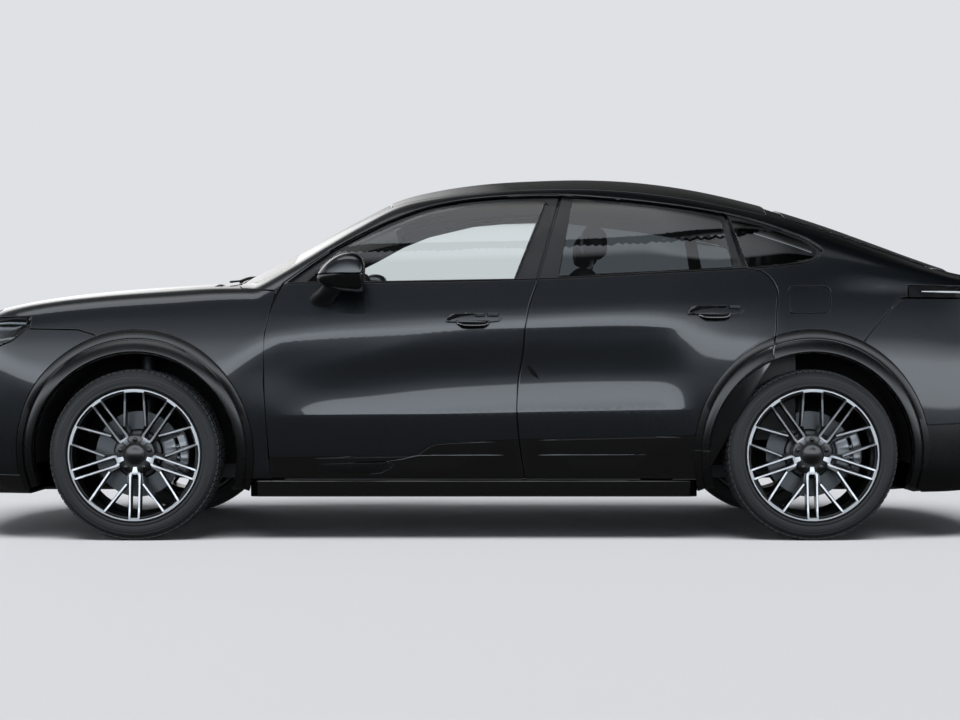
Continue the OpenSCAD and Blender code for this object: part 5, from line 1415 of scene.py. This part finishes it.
# Front intakes with slats, rear diffuser, reflectors, parking sensors and wipers
def slat(name, points, sink, radius, finish="gloss", behind=False, squash=.5):
    line = sunk((fromBehind if behind else fromFront)(dense(points, 14, closed=False)), sink)
    piece = addTube(name, line, radius, finish, 10, squash)
    piece.data.set_sharp_from_angle(angle=math.radians(40))


addPanel("centreIntake", "body", finishes["grille"],
         layPanel("nose", [centreIntake], spacing=16., depth=3., dish=(34., 40.), bevel=1., flange=6.))
bothSides("sideIntake", "body", "body", "trim_plastic", "grille",
          layPanel("nose", [sideIntake], spacing=14., depth=3., dish=(34., 34.), bevel=1., flange=6.))
for k, z in enumerate((326, 350, 374, 398)):
    slat(f"centreSlat{k + 1}", [(-455 + abs(z - 352) * .5, z), (455 - abs(z - 352) * .5, z)], 9, 8)
for side, turn in (("Left", 1), ("Right", -1)):
    for k, (z, y0, y1) in enumerate(((372, -818, -545), (424, -820, -540), (476, -806, -562))):
        slat(f"sideSlat{k + 1}{side}", [(y0 * turn, z), (y1 * turn, z)], 11, 9)
    slat("rearReflector" + side, [(-740 * turn, 560), (-600 * turn, 560)], -1, 6, "redLens", True, 1.2)
for k, y in enumerate(np.linspace(-330, 330, 7)):
    line = [(2318 - abs(y) * .05, y, 392), (2312 - abs(y) * .05, y, 330), (2270, y * .97, 262),
            (2170, y * .94, 226)]
    addTube(f"diffuserFin{k + 1}", flow(line, 14), 7, "gloss", 8)
for end, place in (("front", fromFront), ("rear", fromBehind)):
    for k, (y, z) in enumerate(((-760, 610), (-330, 470), (330, 470), (760, 610)) if end == "front"
                               else ((-800, 455), (-300, 465), (300, 465), (800, 455))):
        seat = place([(y, z)])
        up = bodyNormals(seat)[0]
        addTube(f"{end}Sensor{k + 1}", [seat[0] + up * h for h in (-8, -2, .6, 1.)], [8.6, 8.6, 8.4, 7.6],
                "gloss" if end == "front" else "paint", 20)
wiper = {"pivots": [(-1128, -560), (-1150, 60)], "tips": [(-1075, 40), (-1080, 640)], "lift": 12}
for k, (pivot, tip) in enumerate(zip(wiper["pivots"], wiper["tips"])):
    line = openPlan([pivot, ((pivot[0] + tip[0]) / 2 + 6, (pivot[1] + tip[1]) / 2), tip], 20, 2)
    arm = line + bodyNormals(line) * wiper["lift"]
    addTube(f"wiperArm{k + 1}", arm, np.linspace(9, 5, len(arm)), "satin", 10, .55)
    line = openPlan([(pivot[0] + 22, pivot[1] + (tip[1] - pivot[1]) * .25), (tip[0] + 8, tip[1] + 30)], 20, 1)
    blade = line + bodyNormals(line) * 7
    addTube(f"wiperBlade{k + 1}", blade, 4.5, "matt", 8, 1.3)
print("intakes, sensors and wipers")

# Cabin
# Upholstery starts a little small, swells under light pressure as cloth, and is then drawn in along its seams
pads = {"stepMm": 16, "voxelMm": 14, "pressure": 4, "frames": 20, "capMm": 8, "edgeMm": 34, "seamMm": 6,
        "channelMm": 4}


def padForm(loop, half, facing, bolster=0., taper=(0, 1, 0)):
    # A closed side outline carried across the seat, its ends rolled over and its bolsters raised
    p = np.array(dense(loop, pads["stepMm"], soft=2))
    t = np.roll(p, -1, 0) - np.roll(p, 1, 0)
    out = np.stack([t[:, 1], -t[:, 0]], 1) / np.linalg.norm(t, axis=1)[:, None]
    if np.sum(out * (p - p.mean(0))) < 0:
        out = -out
    weight = np.clip(out @ np.array(facing), 0, 1)
    narrow = 1 - taper[2] * ease(p[:, 1], taper[0], taper[1])
    rows = []
    for v in np.linspace(-half, half, int(2 * half / pads["stepMm"]) + 2):
        e = min(1, max(0, (abs(v) - half + pads["edgeMm"]) / pads["edgeMm"]))
        round_ = math.sqrt(max(0, 1 - e * e))
        raised = bolster * float(ease(abs(v), half - 150, half - 75)) * round_
        q = p + out * (-pads["edgeMm"] * .9 * (1 - round_) + weight * raised)[:, None]
        rows.append(np.column_stack([q[:, 0], v * narrow, q[:, 1]]))
    return np.vstack(rows), ringFaces(len(rows), len(p), True)


def evaluated(made):
    graph = bpy.context.evaluated_depsgraph_get()
    mesh = bpy.data.meshes.new_from_object(made.evaluated_get(graph))
    co = np.empty(len(mesh.vertices) * 3)
    mesh.vertices.foreach_get("co", co)
    return mesh, co.reshape(-1, 3)


def upholstered(part, facing, seams, channels):
    # seams: distances from the middle; channels: (start, end, step, half width) measured along the pad's face
    made = plainObject("padSource", (part[0] / 1000, part[1]))
    remesh = made.modifiers.new("even", "REMESH")
    remesh.mode, remesh.voxel_size = "VOXEL", pads["voxelMm"] / 1000
    mesh, start = evaluated(made)
    made.modifiers.clear()
    made.data = mesh
    cloth = made.modifiers.new("swell", "CLOTH")
    cloth.settings.use_pressure = True
    cloth.settings.uniform_pressure_force = pads["pressure"]
    cloth.settings.effector_weights.gravity = 0
    cloth.point_cache.frame_end = pads["frames"]
    for step in range(1, pads["frames"] + 1):
        bpy.context.scene.frame_set(step)
    swollen = evaluated(made)[1]
    bpy.context.scene.frame_set(1)
    move = swollen - start
    size = np.maximum(np.linalg.norm(move, axis=1), 1e-9)
    start = start + move * np.minimum(1, pads["capMm"] / 1000 / size)[:, None]
    made.modifiers.clear()
    mesh.vertices.foreach_set("co", start.ravel())
    smooth = made.modifiers.new("smooth", "SUBSURF")
    smooth.levels = smooth.render_levels = 1
    fine, p = evaluated(made)
    n = np.empty(len(fine.vertices) * 3)
    fine.vertices.foreach_get("normal", n)
    n, p = n.reshape(-1, 3), p * 1000
    faces = [list(poly.vertices) for poly in fine.polygons]
    bpy.data.objects.remove(made)
    front = np.clip((n[:, 0] * facing[0] + n[:, 2] * facing[1]) * 2 - .3, 0, 1)
    along = p[:, 0] * facing[1] - p[:, 2] * facing[0]
    sink = np.zeros(len(p))
    for y in seams:
        sink = np.maximum(sink, pads["seamMm"] * np.exp(-((np.abs(p[:, 1]) - y) / 7) ** 2))
    if channels:
        first, last, step, half = channels
        nearest = np.abs((along - first + step / 2) % step - step / 2)
        inside = (np.abs(p[:, 1]) < half) & (along > first - step / 2) & (along < last)
        sink = np.maximum(sink, inside * pads["channelMm"] * np.exp(-(nearest / 8) ** 2))
    return p - n * (sink * front)[:, None], faces


def addPad(name, part, y, body="body", replaces=()):
    piece = addPiece(name, (part[0] + np.array([0, y, 0])) / 1000, part[1], finishes["leather"], body,
                     replaces=replaces)


def addPrism(name, loop, y0, y1, finish, bevel=4., body="body"):
    # A side outline carried from one side to the other with rolled edges
    bm = bmesh.new()
    rows = [[bm.verts.new((x / 1000, y / 1000, z / 1000)) for x, z in loop] for y in (y0, y1)]
    k = len(loop)
    bm.faces.new(rows[0])
    bm.faces.new(rows[1][::-1])
    for j in range(k):
        bm.faces.new([rows[0][(j + 1) % k], rows[0][j], rows[1][j], rows[1][(j + 1) % k]])
    bmesh.ops.recalc_face_normals(bm, faces=bm.faces)
    bmesh.ops.bevel(bm, geom=list(bm.edges), offset=bevel / 1000, segments=3, profile=.5, affect="EDGES")
    bm.verts.index_update()
    verts, faces = [tuple(v.co) for v in bm.verts], [[v.index for v in f.verts] for f in bm.faces]
    bm.free()
    piece = addPiece(name, verts, faces, finishes[finish], body)
    piece.data.set_sharp_from_angle(angle=math.radians(35))
    return piece


facingUp, facingBack = (0., 1.), (-.94, .34)
seat = {"y": 372, "half": 238,
        "cushion": [(-330, 432), (180, 432), (214, 470), (208, 590), (170, 602), (0, 608), (-200, 622),
                    (-300, 632), (-342, 600), (-348, 500)],
        "back": [(218, 480), (326, 476), (388, 640), (512, 1140), (496, 1178), (436, 1180), (396, 1136),
                 (226, 660), (212, 560)],
        "head": [(444, 1232), (552, 1230), (552, 1352), (474, 1386), (446, 1362)]}
cushion = upholstered(padForm(seat["cushion"], seat["half"], facingUp, 24), facingUp, (seat["half"] - 108,),
                      (-300, 140, 62, seat["half"] - 112))
backrest = upholstered(padForm(seat["back"], seat["half"], facingBack, 26, (1000, 1190, .2)), facingBack,
                       (seat["half"] - 108,), (590, 1120, 62, seat["half"] - 112))
headrest = upholstered(padForm(seat["head"], 124, facingBack), facingBack, (), None)
for k, (side, turn) in enumerate((("Left", -1), ("Right", 1))):
    y = turn * seat["y"]
    addPad("seatCushion" + side, cushion, y, replaces=() if k else ("front_seats",))
    addPad("seatBack" + side, backrest, y)
    addPad("seatHead" + side, headrest, y)
    for post in (-58, 58):
        addTube(f"seatPost{side}{'In' if post * turn < 0 else 'Out'}",
                [(474, y + post, 1150), (486, y + post, 1190), (496, y + post, 1250)], 6, "chrome")
    for rail in (-176, 176):
        lane = "In" if rail * turn < 0 else "Out"
        addPrism(f"seatRail{side}{lane}", [(-310, 353), (214, 353), (220, 376), (-316, 376)], y + rail - 19,
                 y + rail + 19, "cast")
        addPrism(f"seatLeg{side}{lane}", [(-280, 376), (170, 376), (196, 436), (-300, 436), (-250, 420),
                                          (130, 420)],
                 y + rail - 12, y + rail + 12, "cabin", 3)
bench = {"half": 606,
         "cushion": [(662, 640), (704, 446), (985, 446), (1046, 610), (1054, 716), (1000, 724), (700, 684),
                     (670, 668)],
         "back": [(1078, 660), (1186, 652), (1314, 1104), (1294, 1138), (1236, 1140), (1200, 1104),
                  (1090, 742), (1074, 700)],
         "head": [(1240, 1176), (1318, 1176), (1312, 1258), (1264, 1282), (1242, 1264)]}
addPad("benchCushion", upholstered(padForm(bench["cushion"], bench["half"], facingUp, 10), facingUp,
                                   (205, 500), (720, 1000, 62, 495)), 0, replaces=("rear_bench",))
addPad("benchBack", upholstered(padForm(bench["back"], bench["half"], facingBack, 12), facingBack, (205, 500),
                                (-300, 1e4, 62, 495)), 0)
benchHead = upholstered(padForm(bench["head"], 104, facingBack), facingBack, (), None)
for k, y in enumerate((-400, 0, 400)):
    addPad(f"benchHead{k + 1}", benchHead, y)
    for j, post in enumerate((-45, 45)):
        addTube(f"benchPost{k + 1}{'AB'[j]}", [(1262, y + post, 1120), (1272, y + post, 1195)], 5.5, "chrome")
addPrism("benchPlinth", [(706, 353), (978, 353), (996, 450), (712, 450)], -600, 600, "carpet",
         8)
addPrism("parcelShelf", [(1345, 1062), (1700, 1052), (1700, 1068), (1345, 1080)], -560, 560, "carpet",
         5)
print("seats")

# Dashboard screens, vents and console, and the trim of doors and roof
for name, y0, y1, z0, z1, proud in (("driverScreen", -540, -205, 906, 1008, 10),
                                    ("centreScreen", -170, 170, 872, 996, 12),
                                    ("passengerScreen", 215, 560, 908, 990, 8)):
    x = -610 - (z0 - 900) * .3
    top = -610 - (z1 - 900) * .3
    addPrism(name, [(x - 6, z0), (x + proud, z0 + 2), (top + proud, z1), (top - 6, z1 + 2)], y0, y1, "screen",
             3)
for k, (y0, y1) in enumerate(((-660, -560), (-150, -20), (20, 150), (575, 675))):
    for j, z in enumerate((812, 830, 848)):
        x = -640 + (z - 760) / 140 * 30 + 3
        addTube(f"ventSlat{k + 1}{'abc'[j]}", [(x, y0, z), (x + 1, (y0 + y1) / 2, z), (x, y1, z)], 6,
                "chrome" if j == 1 else "cabin", 8, .5)
consoleTop = max(v.co.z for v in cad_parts["dashboard"].data.vertices if v.co.x > -.3) * 1000
lid = upholstered(padForm([(-30, consoleTop + 3), (140, consoleTop + 3), (146, consoleTop + 26),
                           (130, consoleTop + 40), (-20, consoleTop + 40),
                           (-36, consoleTop + 24)], 84, facingUp), facingUp, (), None)
addPad("consoleLid", lid, 0)
knob = latheMesh([(.01, 62), (13, 60), (20, 50), (20, 34), (13, 18), (10, 6), (26, 3), (34, -2),
                  (.01, -2)], 32)
addPiece("driveSelector",
         np.column_stack([-230 + knob[0][:, 0], knob[0][:, 1], consoleTop + knob[0][:, 2]]) / 1000, knob[1],
         finishes["gloss"], "body").data.set_sharp_from_angle(angle=math.radians(30))
for end, loop in (("front", frontDoorLoop), ("rear", rearDoorLoop)):
    cardLoop = grown(planePoints("fan", loop), -34)
    belowBelt = sideLoop([(-860, 372), (1350, 372), (1350, 1064), (-860, 1052)], 20, 0)
    bothSides(end + "DoorCard", *doorBodies[end], "cabin_plastic", "cabin",
              layPanel("fan", [cardLoop, belowBelt], [rearArch] if end == "rear" else [], spacing=44.,
                       depth=124., bevel=1., flange=-6., inset=8.))
    x0, x1 = (-640, -60) if end == "front" else (300, 760)
    rest = fromSide([(x, 690 + 30 * math.sin((x - x0) / (x1 - x0) * math.pi))
                     for x in np.linspace(x0, x1, 14)])
    rest = sunk(rest, 136)
    bothPieces(end + "ArmRest", tube(rest, 26 * np.sin(np.linspace(.35, math.pi - .35, 14)) ** .4, 16, .7),
               "leather", doorBodies[end])
addPanel("headliner", "body", finishes["headliner"],
         layPanel("fan", [roofLoop], spacing=60., depth=34., bevel=1., flange=-3., inset=6.))
print("cabin trim")

# Light, floor and camera
view = {"eye": (-.020, -9.255, .770), "lensMm": 73.16}
studio = {"backdrop": "#dfe1e5", "floor": "#dcdde1", "ambient": .13, "sun": 2.95, "sunAngle": 44,
          "sunTilt": 24, "band": 3.3, "overhead": .7, "farFront": 1.5, "farRear": .06,
          "cool": (.93, .99, 1.06)}
camera = bpy.data.objects.new("camera", bpy.data.cameras.new("camera"))
camera.data.lens, camera.data.sensor_width = view["lensMm"], 36
camera.location, camera.rotation_euler = view["eye"], (math.pi / 2, 0, 0)
bpy.context.scene.collection.objects.link(camera)
bpy.context.scene.camera = camera
bpy.context.scene.view_settings.view_transform = "Standard"
floorMesh = bpy.data.meshes.new("studioFloor")
floorMesh.from_pydata([(-90, -90, 0), (90, -90, 0), (90, 90, 0), (-90, 90, 0)], [], [(0, 1, 2, 3)])
floor = bpy.data.objects.new("studioFloor", floorMesh)
bpy.context.scene.collection.objects.link(floor)
floorMesh.materials.append(surface("paleStudioFloor", studio["floor"], roughness=.8))
floor.visible_glossy = False
world = bpy.data.worlds.new("studio")
bpy.context.scene.world = world
world.use_nodes = True
tree = world.node_tree
tree.nodes.clear()
direction = addNode(tree, "ShaderNodeNewGeometry", (-1000, 0))
split = addNode(tree, "ShaderNodeSeparateXYZ", (-800, 0), i0=(direction, "Incoming"))
height = addNode(tree, "ShaderNodeMath", (-650, 0), _operation="MULTIPLY_ADD", i0=(split, "Z"), i1=-1 / 1.5,
                 i2=1 / 3)
band = addNode(tree, "ShaderNodeValToRGB", (-450, 0), i0=(height, 0))
stops = band.color_ramp.elements
stops[0].position, stops[0].color = 0., (.02, .02, .02, 1)
stops[1].position, stops[1].color = 1., (studio["overhead"], studio["overhead"], studio["overhead"], 1)
# Height is the sine of the angle above the horizon, raised by a half so the ramp also covers the floor's side
for up, level in ((-.12, .03), (0, .11), (.045, .16), (.07, .95), (.3, 1.), (.38, .86), (.45, .56), (.5, .46),
                  (.56, .2), (.66, .04), (.862, .03), (.874, .7)):
    stop = stops.new(up / 1.5 + 1 / 3)
    stop.color = [level * c for c in studio["cool"]] + [1]
path = addNode(tree, "ShaderNodeLightPath", (-450, 400))
ambient = addNode(tree, "ShaderNodeBackground", (-150, 200), Color=linear("#f4f6fa"),
                  Strength=studio["ambient"])
near = addNode(tree, "ShaderNodeMapRange", (-450, -300), Value=(split, "Y"), i1=-.25, i2=.1)
front = addNode(tree, "ShaderNodeMapRange", (-650, -500), Value=(split, "X"), i1=.0, i2=.22,
                i3=studio["farRear"], i4=studio["farFront"])
above = addNode(tree, "ShaderNodeMapRange", (-550, -600), Value=(height, 0), i1=1 / 3 + .32, i2=1 / 3 + .44,
                i3=1., i4=.1)
upper = addNode(tree, "ShaderNodeMath", (-500, -550), _operation="MULTIPLY", i0=(front, 0), i1=(above, 0))
lit = addNode(tree, "ShaderNodeMapRange", (-450, -500), Value=(height, 0), i1=1 / 3 - .08, i2=1 / 3 + .02,
              i3=.05, i4=(upper, 0))
mixed = addNode(tree, "ShaderNodeMix", (-250, -200), _data_type="RGBA", i0=(near, 0), i6=(lit, 0),
                i7=(band, 0))
rear = addNode(tree, "ShaderNodeMapRange", (-650, -700), Value=(split, "X"), i1=-.1, i2=-.28, i3=0., i4=1.)
high = addNode(tree, "ShaderNodeMapRange", (-650, -900), Value=(height, 0), i1=1 / 3 + .2, i2=1 / 3 + .28)
both = addNode(tree, "ShaderNodeMath", (-450, -800), _operation="MULTIPLY", i0=(rear, 0), i1=(high, 0))
dim = addNode(tree, "ShaderNodeMath", (-300, -800), _operation="MULTIPLY_ADD", i0=(both, 0), i1=-.85, i2=1.)
side = addNode(tree, "ShaderNodeMapRange", (-250, -450), Value=(near, 0), i3=1., i4=studio["band"])
level = addNode(tree, "ShaderNodeMath", (-150, -600), _operation="MULTIPLY", i0=(side, 0), i1=(dim, 0))
glossy = addNode(tree, "ShaderNodeBackground", (-50, 0), Strength=(level, 0))
tree.links.new(mixed.outputs["Result"], glossy.inputs["Color"])
seen = addNode(tree, "ShaderNodeBackground", (-150, -200), Color=linear(studio["backdrop"]), Strength=1.)
first = addNode(tree, "ShaderNodeMixShader", (50, 100), i0=(path, "Is Glossy Ray"), i1=(ambient, 0),
                i2=(glossy, 0))
second = addNode(tree, "ShaderNodeMixShader", (250, 0), i0=(path, "Is Camera Ray"), i1=(first, 0),
                 i2=(seen, 0))
addNode(tree, "ShaderNodeOutputWorld", (450, 0), Surface=(second, 0))
sun = bpy.data.lights.new("softSky", "SUN")
sun.energy, sun.angle = studio["sun"], math.radians(studio["sunAngle"])
sunObject = bpy.data.objects.new("softSky", sun)
sunObject.rotation_euler = (math.radians(studio["sunTilt"]), 0, 0)
sunObject.visible_glossy = False
bpy.context.scene.collection.objects.link(sunObject)
